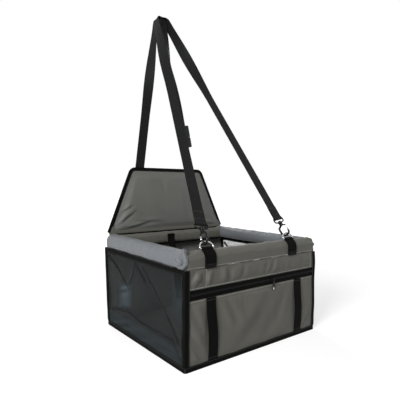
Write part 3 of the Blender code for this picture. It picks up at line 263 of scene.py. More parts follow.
def unit(vector):
    """Each vector at length 1."""
    vector = np.asarray(vector, dtype=float)
    return vector / np.linalg.norm(vector, axis=-1, keepdims=True)


def run_along(points, axis, wrap):
    """The mean distance run along one way of a grid, with the way back to its start where it wraps."""
    ahead = np.roll(points, -1, axis=axis)
    step = np.linalg.norm(ahead - points, axis=-1).mean(axis=1 - axis)
    if not wrap:
        step = step[:-1]
    return np.concatenate([[0.0], np.cumsum(step)])


def grid(points, wrap_rows=False, wrap_columns=False):
    """A patch of quads over a grid of points, with its UVs as distances along both ways."""
    points = np.asarray(points, dtype=float)
    rows, columns = points.shape[:2]
    down = np.arange(rows if wrap_rows else rows - 1)
    i, j = np.meshgrid(down, np.arange(columns if wrap_columns else columns - 1), indexing="ij")
    below, beside = (i + 1) % rows, (j + 1) % columns
    corners = ((i, j), (i, beside), (below, beside), (below, j))
    quads = np.stack([a * columns + b for a, b in corners], axis=-1).reshape(-1, 4)
    u = run_along(points, 1, wrap_columns)
    v = run_along(points, 0, wrap_rows)
    uv = np.stack([[u[j], v[i]], [u[j + 1], v[i]], [u[j + 1], v[i + 1]], [u[j], v[i + 1]]])
    return points.reshape(-1, 3), quads, np.moveaxis(uv, (0, 1), (2, 3)).reshape(-1, 4, 2)


def closed_tube(rings):
    """A patch through rings of points, with both ends drawn together to their middles."""
    rings = np.asarray(rings, dtype=float)
    middle = np.repeat(rings.mean(axis=1, keepdims=True), rings.shape[1], axis=1)
    return grid(np.concatenate([middle[:1], rings, middle[-1:]]), wrap_columns=True)


def slab(outer, inner):
    """A patch round a thin sheet between two like grids, closed along its four edges."""
    rings = np.concatenate([outer, inner[:, ::-1]], axis=1)
    middle = (outer + inner) / 2
    ends = np.concatenate([middle, middle[:, ::-1]], axis=1)
    return grid(np.concatenate([ends[:1], rings, ends[-1:]]), wrap_columns=True)


def sweep(route, section, across, closed=False):
    """A section carried along a route. Each ring is the route's point, plus the section's first number times
    the direction across, plus its second times the direction square to both across and the route."""
    route = np.asarray(route, dtype=float)
    section = np.broadcast_to(section, (len(route), *np.shape(section)[-2:]))
    if closed:
        along = unit(np.roll(route, -1, axis=0) - np.roll(route, 1, axis=0))
    else:
        along = unit(np.gradient(route, axis=0))
    across = np.broadcast_to(np.asarray(across, dtype=float), route.shape)
    across = unit(across - np.sum(across * along, axis=1, keepdims=True) * along)
    thin = np.cross(along, across)
    rings = route[:, None] + section[..., :1] * across[:, None] + section[..., 1:] * thin[:, None]
    return grid(rings, wrap_rows=True, wrap_columns=True) if closed else closed_tube(rings)


def round_section(radius, count=12):
    """A circle's points."""
    turn = full_turn(count)
    return radius * at(np.cos(turn), np.sin(turn))


def tape_section(width, thickness, corner=0.0006, steps=10):
    """A flat strap's section: straight faces with several points, and rounded edges."""
    half, rise = width / 2, thickness / 2
    corner = min(corner, rise * 0.95)
    flat = np.linspace(-half + corner, half - corner, steps)
    turn = np.radians(np.linspace(90, 0, 4))
    edge = at(half - corner + corner * np.cos(turn), rise - corner + corner * np.sin(turn))
    top = at(flat, rise)
    side = np.concatenate([top, edge[1:]])
    return np.concatenate([side, -side])


def smooth_route(knots, steps):
    """A smooth curve through the knots: a cubic between each two, whose slope comes from their neighbours."""
    knots = np.asarray(knots, dtype=float)
    padded = np.concatenate([[2 * knots[0] - knots[1]], knots, [2 * knots[-1] - knots[-2]]])
    a, b, c, d = (padded[k : len(padded) - 3 + k, None] for k in range(4))
    t = np.linspace(0, 1, steps, endpoint=False)[None, :, None]
    square = 2 * a - 5 * b + 4 * c - d
    cube = 3 * b - a - 3 * c + d
    curve = 0.5 * (2 * b + (c - a) * t + square * t**2 + cube * t**3)
    return np.concatenate([curve.reshape(-1, knots.shape[1]), knots[-1:]])


def even_route(points, step):
    """The same route with its points an even step apart."""
    points = np.asarray(points, dtype=float)
    run = np.concatenate([[0.0], np.cumsum(np.linalg.norm(np.diff(points, axis=0), axis=1))])
    place = np.linspace(0, run[-1], max(2, int(round(run[-1] / step)) + 1))
    return np.stack([np.interp(place, run, points[:, k]) for k in range(points.shape[1])], axis=-1)


def ripple(place, pitch, seed, waves=5):
    """A wavy line between -1 and 1: a mean of sines whose pitches and starts are spread by a seed."""
    draw = np.random.default_rng(seed)
    pitches = pitch * draw.uniform(0.6, 1.7, waves)
    starts = draw.uniform(0, 2 * math.pi, waves)
    return np.mean(np.sin(2 * math.pi * np.asarray(place)[..., None] / pitches + starts), axis=-1) * 1.6


def fold(u, v, line, depth, width):
    """A cloth fold along a straight line: it rises on one side, sinks on the other and fades at both ends."""
    (u0, v0), (u1, v1) = line
    length = math.hypot(u1 - u0, v1 - v0)
    share = held(((u - u0) * (u1 - u0) + (v - v0) * (v1 - v0)) / length**2)
    off = ((u - u0) * (v1 - v0) - (v - v0) * (u1 - u0)) / length / width
    return depth * np.sin(math.pi * share) * 2.3 * off * np.exp(-(off**2) - 0.2 * np.abs(off))


def folded(height, u, v, folds, keep=1.0):
    """A height with folds laid into it, each a line, a depth and a width."""
    for line, depth, width in folds:
        height = height + fold(u, v, line, depth, width) * keep
    return height


def hump(place, middle, width):
    """A smooth hill that is 1 at its middle: e to the minus square of the distance in widths."""
    return np.exp(-(((place - middle) / width) ** 2))


def soft_step(share):
    """Rises smoothly from 0 to 1 as the share does, and stays there: three squares less two cubes."""
    share = held(share)
    return share * share * (3 - 2 * share)


def lifted(out):
    """Keeps a height just above nothing, with no kink: half of itself and its rounded size."""
    return 0.5 * (out + np.sqrt(out**2 + 0.0008**2)) - 0.0004


def close_up(mesh, flatten=False):
    """Merges points that meet, joins up flat faces where asked, and turns the faces outwards."""
    shape = bmesh.new()
    shape.from_mesh(mesh)
    bmesh.ops.remove_doubles(shape, verts=shape.verts, dist=1e-6)
    if flatten:
        bmesh.ops.dissolve_limit(shape, angle_limit=math.radians(1), verts=shape.verts, edges=shape.edges)
    bmesh.ops.recalc_face_normals(shape, faces=shape.faces)
    shape.to_mesh(mesh)
    shape.free()


def joined(name, patches, mapped=True):
    """One mesh of these patches, with seams and poles closed and faces outwards."""
    first = np.cumsum([0] + [len(points) for points, _, _ in patches])
    points = np.concatenate([points for points, _, _ in patches])
    quads = np.concatenate([quads + start for (_, quads, _), start in zip(patches, first)])
    mesh = bpy.data.meshes.new(name)
    mesh.from_pydata(points.tolist(), [], quads.tolist())
    if mapped:
        layer = mesh.uv_layers.new(name="Cloth")
        layer.data.foreach_set("uv", np.concatenate([uv for _, _, uv in patches]).astype(np.float32).ravel())
    close_up(mesh)
    return mesh


def plain_object(name, patches):
    """A linked object of these patches with nothing else on it yet."""
    made = bpy.data.objects.new(name, joined(name, patches, mapped=False))
    bpy.context.scene.collection.objects.link(made)
    return made


def piece(name, patches, body, finish_name, replaces=(), sharp=45.0):
    """A smooth object of these patches, with its edges kept where they are sharp, that rides on a body."""
    mesh = joined(name, patches)
    mesh.shade_smooth()
    mesh.set_sharp_from_angle(angle=math.radians(sharp))
    return dress(bpy.data.objects.new(name, mesh), body, finish_name, replaces)


def sewn(name, patches, finish_name, slot, *nodes, sharp=45.0):
    """A piece that rides on the seat itself, in place of its nodes."""
    return piece(name, patches, "seat", finish_name, nodes, sharp)


def dress(made, body, finish_name, replaces=()):
    """Links a piece, gives it its finish, and lets it ride on its body in place of its nodes."""
    if made.name not in bpy.context.scene.collection.objects:
        bpy.context.scene.collection.objects.link(made)
    made.data.materials.clear()
    made.data.materials.append(finish(finish_name))
    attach(made, body)
    if replaces:
        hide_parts(*replaces)
    return made


def bevelled_copy(node, name, body, finish_name, width):
    """A copy of a node's mesh, merged, with its flat faces joined up and its edges rounded."""
    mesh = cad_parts[node].data.copy()
    mesh.name = name
    close_up(mesh, flatten=True)
    made = bpy.data.objects.new(name, mesh)
    bevel = made.modifiers.new("Rounded edges", "BEVEL")
    bevel.width = width
    bevel.segments = 2
    bevel.limit_method = "ANGLE"
    bevel.angle_limit = math.radians(40)
    mesh.shade_smooth()
    mesh.set_sharp_from_angle(angle=math.radians(50))
    return dress(made, body, finish_name, [node])


def repeated(shape, placed):
    """One patch of many like shapes, from the points of each one in its place."""
    _, quads, uv = grid(shape, wrap_columns=True)
    count = len(placed)
    starts = np.repeat(np.arange(count) * shape[..., 0].size, len(quads))[:, None]
    return placed.reshape(-1, 3), np.tile(quads, (count, 1)) + starts, np.tile(uv, (count, 1, 1))


def threads(name, lines, body, finish_name):
    """One stretched ball for each stitch of each line of points and outward directions."""
    sizes = bpy.context.scene.seat_sizes
    turn = full_turn(6)
    rise = np.linspace(0, math.pi, 5)[:, None]
    ball = at(
        -np.cos(rise) * sizes.stitch_length / 2,
        np.sin(rise) * np.cos(turn) * sizes.stitch_radius * 1.3,
        np.sin(rise) * np.sin(turn) * sizes.stitch_radius,
    )
    patches = []
    for points, normals in lines:
        both = np.concatenate([points, np.broadcast_to(normals, np.shape(points))], axis=1)
        places = even_route(both, sizes.stitch_pitch)
        if len(places) < 3:
            continue
        along = unit(np.gradient(places[:, :3], axis=0))
        normal = unit(places[:, 3:] - np.sum(places[:, 3:] * along, axis=1, keepdims=True) * along)
        axes = np.stack([along, np.cross(normal, along), normal], axis=1)
        patches.append(repeated(ball, ball.reshape(-1, 3) @ axes + places[:, None, :3]))
    return piece(name, patches, body, finish_name, sharp=180)


# Materials

BOARD_COLOUR = (0.080, 0.080, 0.082)


class Nodes:
    """A node tree that is built by naming each node's kind, its inputs and its settings."""

    def __init__(self, tree):
        self.tree = tree
        tree.nodes.clear()

    def add(self, kind, values=None, **settings):
        """Adds a node. An input is given as a number or as another node's output, which is linked to it."""
        made = self.tree.nodes.new(kind)
        for name, value in settings.items():
            setattr(made, name, value)
        for name, value in (values or {}).items():
            if isinstance(value, bpy.types.NodeSocket):
                self.link(value, made.inputs[name])
            else:
                made.inputs[name].default_value = value
        return made

    def link(self, value, socket):
        """Links an output to an input."""
        self.tree.links.new(value, socket)

    def sum(self, operation, *values, clamp=False):
        """The output of a math node, whatever its operation."""
        made = self.add("ShaderNodeMath", dict(enumerate(values)), operation=operation, use_clamp=clamp)
        return made.outputs[0]

    def blend(self, share, first, second, kind="MIX"):
        """A colour mixed from two by a share."""
        values = {0: share, 6: first, 7: second}
        return self.add("ShaderNodeMix", values, data_type="RGBA", blend_type=kind).outputs[2]

    def noise(self, vector, scale, detail=3.0, rough=0.5):
        """The value of a noise texture."""
        values = {"Vector": vector, "Scale": scale, "Detail": detail, "Roughness": rough}
        return self.add("ShaderNodeTexNoise", values).outputs["Fac"]


def new_group(name, outputs, **numbers):
    """An empty shader node group: a vector and some numbers go in, and numbers come out."""
    tree = bpy.data.node_groups.new(name, "ShaderNodeTree")
    tree.interface.new_socket("Vector", in_out="INPUT", socket_type="NodeSocketVector")
    for label, default in numbers.items():
        socket = tree.interface.new_socket(label, in_out="INPUT", socket_type="NodeSocketFloat")
        socket.default_value = default
    for label in outputs:
        tree.interface.new_socket(label, in_out="OUTPUT", socket_type="NodeSocketFloat")
    nodes = Nodes(tree)
    return nodes, nodes.add("NodeGroupInput").outputs, nodes.add("NodeGroupOutput").inputs


def weave_group():
    """Plain weave: warp and weft threads are rows of half sines that take turns on top, in a chequer."""
    nodes, given, out = new_group("Plain weave", ("Height", "Shade"), Threads=1100.0)
    values = {0: given["Vector"], "Scale": given["Threads"]}
    scaled = nodes.add("ShaderNodeVectorMath", values, operation="SCALE")
    across = nodes.add("ShaderNodeSeparateXYZ", {0: scaled.outputs[0]}).outputs
    rows = [nodes.sum("SINE", nodes.sum("MULTIPLY", nodes.sum("FRACT", across[k]), math.pi)) for k in (0, 1)]
    cells = nodes.sum("ADD", nodes.sum("FLOOR", across[0]), nodes.sum("FLOOR", across[1]))
    over = nodes.sum("PINGPONG", cells, 1.0)
    warp = nodes.sum("MULTIPLY", rows[0], nodes.sum("MULTIPLY_ADD", rows[1], 0.5, 0.5))
    weft = nodes.sum("MULTIPLY", rows[1], nodes.sum("MULTIPLY_ADD", rows[0], 0.5, 0.5))
    height = nodes.add("ShaderNodeMix", {0: over, 2: warp, 3: weft}).outputs[0]
    nodes.link(height, out["Height"])
    nodes.link(nodes.sum("MULTIPLY_ADD", height, 0.35, 0.78), out["Shade"])


def webbing_group():
    """Webbing: ribs along the strap, crossed by slanting rows whose slant turns at each rib."""
    nodes, given, out = new_group("Webbing ribs", ("Height", "Shade"), Ribs=330.0, Rows=700.0)
    across = nodes.add("ShaderNodeSeparateXYZ", {0: given["Vector"]}).outputs
    rib = nodes.sum("PINGPONG", nodes.sum("MULTIPLY", across[0], given["Ribs"]), 1.0)
    slant = nodes.sum("MULTIPLY_ADD", across[1], given["Rows"], nodes.sum("MULTIPLY", rib, 1.2))
    rows = nodes.sum("SINE", nodes.sum("MULTIPLY", nodes.sum("FRACT", slant), math.pi))
    arch = nodes.sum("SINE", nodes.sum("MULTIPLY", rib, math.pi))
    height = nodes.sum("MULTIPLY_ADD", rows, 0.55, nodes.sum("MULTIPLY", arch, 0.45))
    nodes.link(height, out["Height"])
    nodes.link(nodes.sum("MULTIPLY_ADD", height, 0.5, 0.7), out["Shade"])


def tone_group():
    """Uneven tone: broad cloudy patches and fine specks, as a shade near 1 and as a soft height."""
    numbers = {"Broad": 9.0, "Fine": 420.0, "Amount": 0.12}
    nodes, given, out = new_group("Uneven tone", ("Shade", "Height", "Rough"), **numbers)
    broad = nodes.noise(given["Vector"], given["Broad"], 4.0, 0.55)
    fine = nodes.noise(given["Vector"], given["Fine"], 2.0)
    both = nodes.sum("MULTIPLY_ADD", fine, 0.45, nodes.sum("MULTIPLY", broad, 0.55))
    centred = nodes.sum("MULTIPLY_ADD", both, 2.0, -1.0)
    nodes.link(nodes.sum("MULTIPLY_ADD", centred, given["Amount"], 1.0), out["Shade"])
    nodes.link(broad, out["Height"])
    nodes.link(nodes.sum("MULTIPLY", centred, given["Amount"]), out["Rough"])


def net_group():
    """Netting: round holes in offset rows. Mask is 1 on the yarn, and Height rises towards its middle."""
    nodes, given, out = new_group("Net holes", ("Mask", "Height"), Holes=520.0, Hole=0.46)
    across = nodes.add("ShaderNodeSeparateXYZ", {0: given["Vector"]}).outputs
    row = nodes.sum("MULTIPLY", across[1], nodes.sum("MULTIPLY", given["Holes"], 1.1547))
    shift = nodes.sum("MULTIPLY", nodes.sum("PINGPONG", nodes.sum("FLOOR", row), 1.0), 0.5)
    column = nodes.sum("MULTIPLY_ADD", across[0], given["Holes"], shift)
    x = nodes.sum("SUBTRACT", nodes.sum("FRACT", column), 0.5)
    y = nodes.sum("MULTIPLY", nodes.sum("SUBTRACT", nodes.sum("FRACT", row), 0.5), 0.8660)
    reach = nodes.sum("SQRT", nodes.sum("MULTIPLY_ADD", x, x, nodes.sum("MULTIPLY", y, y)))
    edge = nodes.sum("SUBTRACT", reach, given["Hole"])
    nodes.link(nodes.sum("MULTIPLY_ADD", edge, 4.0, 0.5, clamp=True), out["Mask"])
    nodes.link(nodes.sum("SUBTRACT", reach, given["Hole"], clamp=True), out["Height"])


def grain_group():
    """Moulded plastic's fine grain, and the polish that handling leaves on it."""
    nodes, given, out = new_group("Moulded grain", ("Height", "Polish"), Grain=2600.0)
    nodes.link(nodes.noise(given["Vector"], given["Grain"], 3.0), out["Height"])
    nodes.link(nodes.noise(given["Vector"], 60.0, 4.0, 0.6), out["Polish"])


def scratch_group():
    """Worn metal: stretched fine noise as hairline scratches, and dull patches."""
    nodes, given, out = new_group("Hairline wear", ("Height", "Dull"), Lines=900.0)
    drawn = nodes.add("ShaderNodeVectorMath", {0: given["Vector"], 1: (1.0, 1.0, 0.12)}, operation="MULTIPLY")
    nodes.link(nodes.noise(drawn.outputs[0], given["Lines"], 4.0, 0.6), out["Height"])
    nodes.link(nodes.noise(given["Vector"], 140.0, 3.0), out["Dull"])


def groups():
    """Builds the shared effects once."""
    if "Plain weave" not in bpy.data.node_groups:
        for build in (weave_group, webbing_group, tone_group, net_group, grain_group, scratch_group):
            build()


def placed(nodes, group, vector, **values):
    """One of the shared effects in a material, with its own values."""
    made = nodes.add("ShaderNodeGroup", node_tree=bpy.data.node_groups[group])
    nodes.link(vector, made.inputs["Vector"])
    for name, value in values.items():
        made.inputs[name].default_value = value
    return made.outputs


def start_material(name, **constants):
    """A material with a Principled shader, and its constants set on the shader's own sockets."""
    material = bpy.data.materials.new(name)
    material.use_nodes = True
    nodes = Nodes(material.node_tree)
    shader = nodes.add("ShaderNodeBsdfPrincipled")
    for label, value in constants.items():
        shader.inputs[label.replace("_", " ")].default_value = value
    nodes.add("ShaderNodeOutputMaterial", {"Surface": shader.outputs[0]})
    return material, nodes, shader


def cloth_vectors(nodes, laid="mapped"):
    """Where the weave and the tone lie: on the UV map, or on the object's own flat or upright plane."""
    if laid == "mapped":
        vector = nodes.add("ShaderNodeUVMap", uv_map="Cloth").outputs[0]
        return vector, vector
    place = nodes.add("ShaderNodeTexCoord").outputs["Object"]
    if laid == "flat":
        return place, place
    upright = nodes.add("ShaderNodeMapping", {"Vector": place, "Rotation": (math.pi / 2, 0.0, 0.0)})
    return upright.outputs[0], place


def tinted(nodes, found, shade):
    """A colour multiplied by a shade."""
    tint = nodes.add("ShaderNodeCombineColor", {0: shade, 1: shade, 2: shade}).outputs[0]
    return nodes.blend(1.0, found, tint, "MULTIPLY")


def shaded(nodes, colour, *shades):
    """A colour multiplied by each of the shades."""
    found = (*colour, 1.0)
    for shade in shades:
        found = tinted(nodes, found, shade)
    return found


def bump(nodes, height, distance, strength=1.0, under=None):
    """A normal from a height, laid over another normal where one is given."""
    values = {"Height": height, "Distance": distance, "Strength": strength}
    if under:
        values["Normal"] = under
    return nodes.add("ShaderNodeBump", values).outputs[0]


def rough(nodes, shader, level, change, amount=1.0):
    """Roughness that wanders round its level with an effect's value."""
    value = nodes.sum("MULTIPLY_ADD", change, amount, level, clamp=True)
    nodes.link(value, shader.inputs["Roughness"])


def coated(nodes, shader, colour, shades, height, distance, strength, under=None):
    """Gives the shader its shaded colour and its bump."""
    nodes.link(shaded(nodes, colour, *shades), shader.inputs["Base Color"])
    nodes.link(bump(nodes, height, distance, strength, under), shader.inputs["Normal"])


def woven(name, colour, threads_per_m, level, sheen, laid="mapped", broad=9.0, coat=0.0, shine=0.20):
    """Coated woven cloth."""
    material, nodes, shader = start_material(
        name,
        Specular_IOR_Level=shine,
        Sheen_Weight=sheen,
        Sheen_Roughness=0.45,
        Coat_Weight=coat,
        Coat_Roughness=0.35,
    )
    weave_place, tone_place = cloth_vectors(nodes, laid)
    weave = placed(nodes, "Plain weave", weave_place, Threads=threads_per_m)
    tone = placed(nodes, "Uneven tone", tone_place, Broad=broad, Amount=0.12)
    rough(nodes, shader, level, tone["Rough"], 0.5)
    soft = bump(nodes, tone["Height"], 0.0012, 0.5)
    coated(nodes, shader, colour, (weave["Shade"], tone["Shade"]), weave["Height"], 0.00016, 0.8, soft)
    return material


def netting(name, colour, lit):
    """See-through net, with holes cut by alpha that close up in its folds, the yarn darkened along the folds
    as painted shade, and painted light where the Slack light attribute blends in the lit colour.
    """
    material, nodes, shader = start_material(name, Roughness=0.7, Specular_IOR_Level=0.12)
    vector, _ = cloth_vectors(nodes)
    crease_and_painted_shade = nodes.add("ShaderNodeAttribute", attribute_name="Crease and painted shade").outputs["Fac"]
    light = nodes.add("ShaderNodeAttribute", attribute_name="Slack light").outputs["Fac"]
    # The holes close up in the folds and where light is painted.
    hole = nodes.sum("MULTIPLY_ADD", nodes.sum("MAXIMUM", crease_and_painted_shade, light), -0.34, 0.415)
    net = placed(nodes, "Net holes", vector, Holes=760.0)
    nodes.link(hole, net["Mask"].node.inputs["Hole"])
    tone = placed(nodes, "Uneven tone", vector, Broad=14.0, Amount=0.2)
    # Painted light: the yarn takes the lighter lit colour where the Slack light attribute says.
    yarn = nodes.blend(light, (*colour, 1.0), (*lit, 1.0))
    # Painted shade: the yarn darkens along the folds.
    dark = nodes.sum("MULTIPLY_ADD", crease_and_painted_shade, -0.90, 1.0)
    shade = nodes.sum("MULTIPLY", tone["Shade"], dark)
    nodes.link(tinted(nodes, yarn, shade), shader.inputs["Base Color"])
    nodes.link(net["Mask"], shader.inputs["Alpha"])
    nodes.link(bump(nodes, net["Height"], 0.0002, 0.7), shader.inputs["Normal"])
    return material


def strapping(name, colour, ribs, rows, level, shine):
    """Ribbed tape or webbing."""
    material, nodes, shader = start_material(name, Specular_IOR_Level=shine)
    vector, _ = cloth_vectors(nodes)
    web = placed(nodes, "Webbing ribs", vector, Ribs=ribs, Rows=rows)
    tone = placed(nodes, "Uneven tone", vector, Broad=16.0, Amount=0.2)
    rough(nodes, shader, level, tone["Rough"], 0.5)
    coated(nodes, shader, colour, (web["Shade"], tone["Shade"]), web["Height"], 0.00022, 0.8)
    return material


def hard(name, colour, effect, wear, broad, amount, level, change, depth, strength, **constants):
    """A hard surface: an effect's height as its relief, its wear as its roughness, and an uneven tone."""
    material, nodes, shader = start_material(name, **constants)
    place = nodes.add("ShaderNodeTexCoord").outputs["Object"]
    relief = placed(nodes, effect, place)
    tone = placed(nodes, "Uneven tone", place, Broad=broad, Amount=amount)
    rough(nodes, shader, level, relief[wear], change)
    coated(nodes, shader, colour, (tone["Shade"],), relief["Height"], depth, strength)
    return material


def moulded(name, colour, level):
    """Moulded plastic with a fine grain and polished patches."""
    values = ("Moulded grain", "Polish", 40.0, 0.15, level - 0.08, 0.18, 0.00006, 0.6)
    return hard(name, colour, *values, Specular_IOR_Level=0.12)


def plated(name, colour, level, metal, shine):
    """Plated or enamelled metal with hairline wear."""
    values = ("Hairline wear", "Dull", 90.0, 0.08, level - 0.06, 0.14, 0.00003, 0.5)
    return hard(name, colour, *values, Metallic=metal, Specular_IOR_Level=shine)


def thread_finish(name, colour):
    """Twisted thread: slanting ribs along each stitch."""
    material, nodes, shader = start_material(name, Roughness=0.6, Specular_IOR_Level=0.2)
    vector, _ = cloth_vectors(nodes)
    twist = placed(nodes, "Webbing ribs", vector, Ribs=900.0, Rows=2200.0)
    coated(nodes, shader, colour, (twist["Shade"],), twist["Height"], 0.00008, 0.8)
    return material


def brighter(colour, amount):
    """A colour times an amount."""
    return tuple(amount * value for value in colour)


def make_finish(name):
    """Builds one finish from the user's colours."""
    colours = bpy.context.scene.seat_colours
    cloth = {
        "oxford": ("Grey Oxford", colours.oxford, 1000.0, 0.50, 0.08),
        # Painted light: the back lining is the lining colour made 2.2 times brighter, to light the inside of
        # the box.
        "back": ("Back lining", brighter(colours.lining, 2.2), 1000.0, 0.55, 0.08),
        "roll": ("Blue grey Oxford", colours.roll, 1250.0, 0.36, 0.08, "mapped", 6.0, 0.10),
        "lining": ("Lining cloth", colours.lining, 1600.0, 0.78, 0.05),
        "base": ("Base cloth", colours.tape, 900.0, 0.75, 0.0, "mapped", 9.0, 0.0, 0.15),
        "flap": ("Padded Oxford", colours.flap, 1000.0, 0.50, 0.08, "upright", 10.0, 0.0, 0.35),
        "pad": ("Pad cloth", colours.pad, 1100.0, 0.72, 0.05, "flat"),
    }
    others = {
        "net": (netting, "Side netting", colours.net, colours.lit_net),
        "tape": (strapping, "Binding tape", colours.tape, 900.0, 1500.0, 0.72, 0.04),
        "webbing": (strapping, "Strap webbing", colours.webbing, 330.0, 700.0, 0.60, 0.08),
        "light_thread": (thread_finish, "Light thread", colours.light_thread),
        "dark_thread": (thread_finish, "Dark thread", colours.dark_thread),
        "board": (moulded, "Base board", BOARD_COLOUR, 0.60),
        "frame_plastic": (moulded, "Frame tube", colours.frame_plastic, 0.45),
        "black_plastic": (moulded, "Black plastic", colours.black_plastic, 0.34),
        "black_metal": (plated, "Black enamelled metal", colours.black_metal, 0.16, 0.0, 0.15),
        "nickel": (plated, "Nickel plate", colours.nickel, 0.18, 1.0, 0.5),
    }
    groups()
    recipe, *values = (woven, *cloth[name]) if name in cloth else others[name]
    return recipe(*values)


def finish(name):
    """The named finish, built the first time it is asked for."""
    key = f"seat_{name}"
    found = [m for m in bpy.data.materials if m.get("seat_finish") == key]
    if found:
        return found[0]
    made = make_finish(name)
    made["seat_finish"] = key
    return made


# Box


def back_face(height):
    """The Y of the back panel's outer face, which leans out from the base to the rim."""
    return BACK_Y - BASE_SETBACK * (1 - np.asarray(height) / WALL_HEIGHT)


def bay(place, edges):
    """A bulge that is nothing at each edge and 1 midway between two: a sine of the share of the bay."""
    edges = np.asarray(edges)
    index = np.clip(np.searchsorted(edges, place) - 1, 0, len(edges) - 2)
    share = held((place - edges[index]) / (edges[index + 1] - edges[index]))
    width = edges[index + 1] - edges[index]
    return np.sin(math.pi * share) ** 0.8 * held(width / 0.2) ** 0.5


def panel_grid(low, high, columns, rows):
    """X and Z over an upright panel's box."""
    x, z = np.meshgrid(spread(low[0], high[0], columns), spread(low[2], high[2], rows))
    return x, z


def flat_sheet(name, outer, inner, finish_name, slot, *nodes):
    """A thin sheet between two like grids, that rides on the seat in place of its nodes."""
    made = sewn(name, [slab(outer, inner)], finish_name, slot, *nodes)
    return made


# Folds of the pocket, the header and the back panel: a line's two ends, a depth and a width
POCKET_FOLDS = (
    (((-0.122, 0.138), (-0.084, 0.060)), -0.0060, 0.012),
    (((-0.098, 0.138), (-0.050, 0.070)), -0.0044, 0.011),
    (((-0.090, 0.006), (0.034, 0.130)), -0.0052, 0.026),
    (((0.010, 0.006), (0.118, 0.092)), 0.0052, 0.024),
    (((0.108, 0.136), (0.066, 0.056)), -0.0044, 0.014),
    (((-0.188, 0.134), (-0.148, 0.070)), -0.0062, 0.010),
    (((-0.194, 0.080), (-0.150, 0.034)), -0.0070, 0.010),
    (((-0.188, 0.046), (-0.156, 0.010)), 0.0052, 0.008),
    (((0.150, 0.132), (0.178, 0.046)), -0.0050, 0.009),
    (((0.188, 0.062), (0.150, 0.016)), 0.0050, 0.009),
)
HEADER_FOLDS = (
    (((-0.192, 0.170), (-0.168, 0.197)), 0.0030, 0.0060),
    (((-0.180, 0.163), (-0.158, 0.190)), -0.0024, 0.0055),
)
BACK_FOLDS = (
    (((-0.190, 0.060), (-0.110, 0.170)), 0.0011, 0.012),
    (((0.150, 0.040), (0.060, 0.160)), 0.0009, 0.014),
    (((-0.100, 0.030), (-0.020, 0.120)), 0.0008, 0.012),
)


def front_sheet(name, x, z, out, node):
    """A grey sheet of the front, whose outer face stands out by a height."""
    outer = at(x, FRONT_Y - lifted(out), z)
    flat_sheet(name, outer, at(x, FRONT_Y + FABRIC, z), "oxford", "grey_oxford", node)


class PocketPanel(bpy.types.Operator):
    """Pocket front below the zip: it bulges in bays between its seams and puckers along the zip."""

    bl_idname = "pet_seat.pocket_panel"
    bl_label = "Pocket panel"

    def execute(self, context):
        sizes = context.scene.seat_sizes
        x, z = panel_grid(POCKET_LOW, POCKET_HIGH, 220, 70)
        web = POCKET_WEB_WIDTH / 2
        seams = [-HALF_WIDTH, 0.011 - HALF_WIDTH, -POCKET_WEB_X - web, -POCKET_WEB_X + web]
        seams += [-seam for seam in seams[::-1]]
        up = held((z - BINDING_WIDTH) / (POCKET_HIGH[2] - BINDING_WIDTH))
        open_part = bay(x, seams) * np.where(np.abs(np.abs(x) - POCKET_WEB_X) < web, 0.0, 1.0)
        open_part = open_part * soft_step((POCKET_HIGH[2] - 0.0040 - z) / 0.008)
        open_part = open_part * soft_step((z - 0.0105) / 0.014)
        out = sizes.pocket_bulge * open_part * (0.45 + 0.55 * np.sin(math.pi * up))
        hem = np.exp(-(1 - up) / 0.16)
        out = out + 0.0012 * ripple(x, 0.020, 3) * hem * open_part
        out = out + 0.0006 * ripple(x, 0.052, 4) * np.sin(math.pi * up) * open_part
        out = folded(out, x, z, POCKET_FOLDS, open_part)
        front_sheet("pocket_panel_cloth", x, z, out, "pocket_panel")
        return {"FINISHED"}


class HeaderStrip(bpy.types.Operator):
    """Strip above the zip: upright puckers drawn up by the two seams."""

    bl_idname = "pet_seat.header_strip"
    bl_label = "Header strip"

    def execute(self, context):
        sizes = context.scene.seat_sizes
        x, z = panel_grid(HEADER_LOW, HEADER_HIGH, 320, 26)
        up = (z - HEADER_LOW[2]) / (HEADER_HIGH[2] - HEADER_LOW[2])
        lean = x + 0.022 * (up - 0.5) * ripple(x, 0.09, 8)
        wave = np.sin(math.pi * held((up - 0.10) / 0.84)) ** 0.8
        for seam in UPRIGHT_STITCHES:
            wave = wave * (1 - hump(x, seam, 0.0035))
        swell = 0.55 + 0.45 * ripple(x, 0.11, 9)
        puckers = ripple(lean, 0.026, 7, 4) * swell
        edge = held((HALF_WIDTH - np.abs(x) - 0.010) / 0.012)
        out = (0.0030 + sizes.header_ripple * puckers) * wave * edge
        out = folded(out, x, z, HEADER_FOLDS, edge)
        front_sheet("header_strip_cloth", x, z, out, "header_strip")
        return {"FINISHED"}


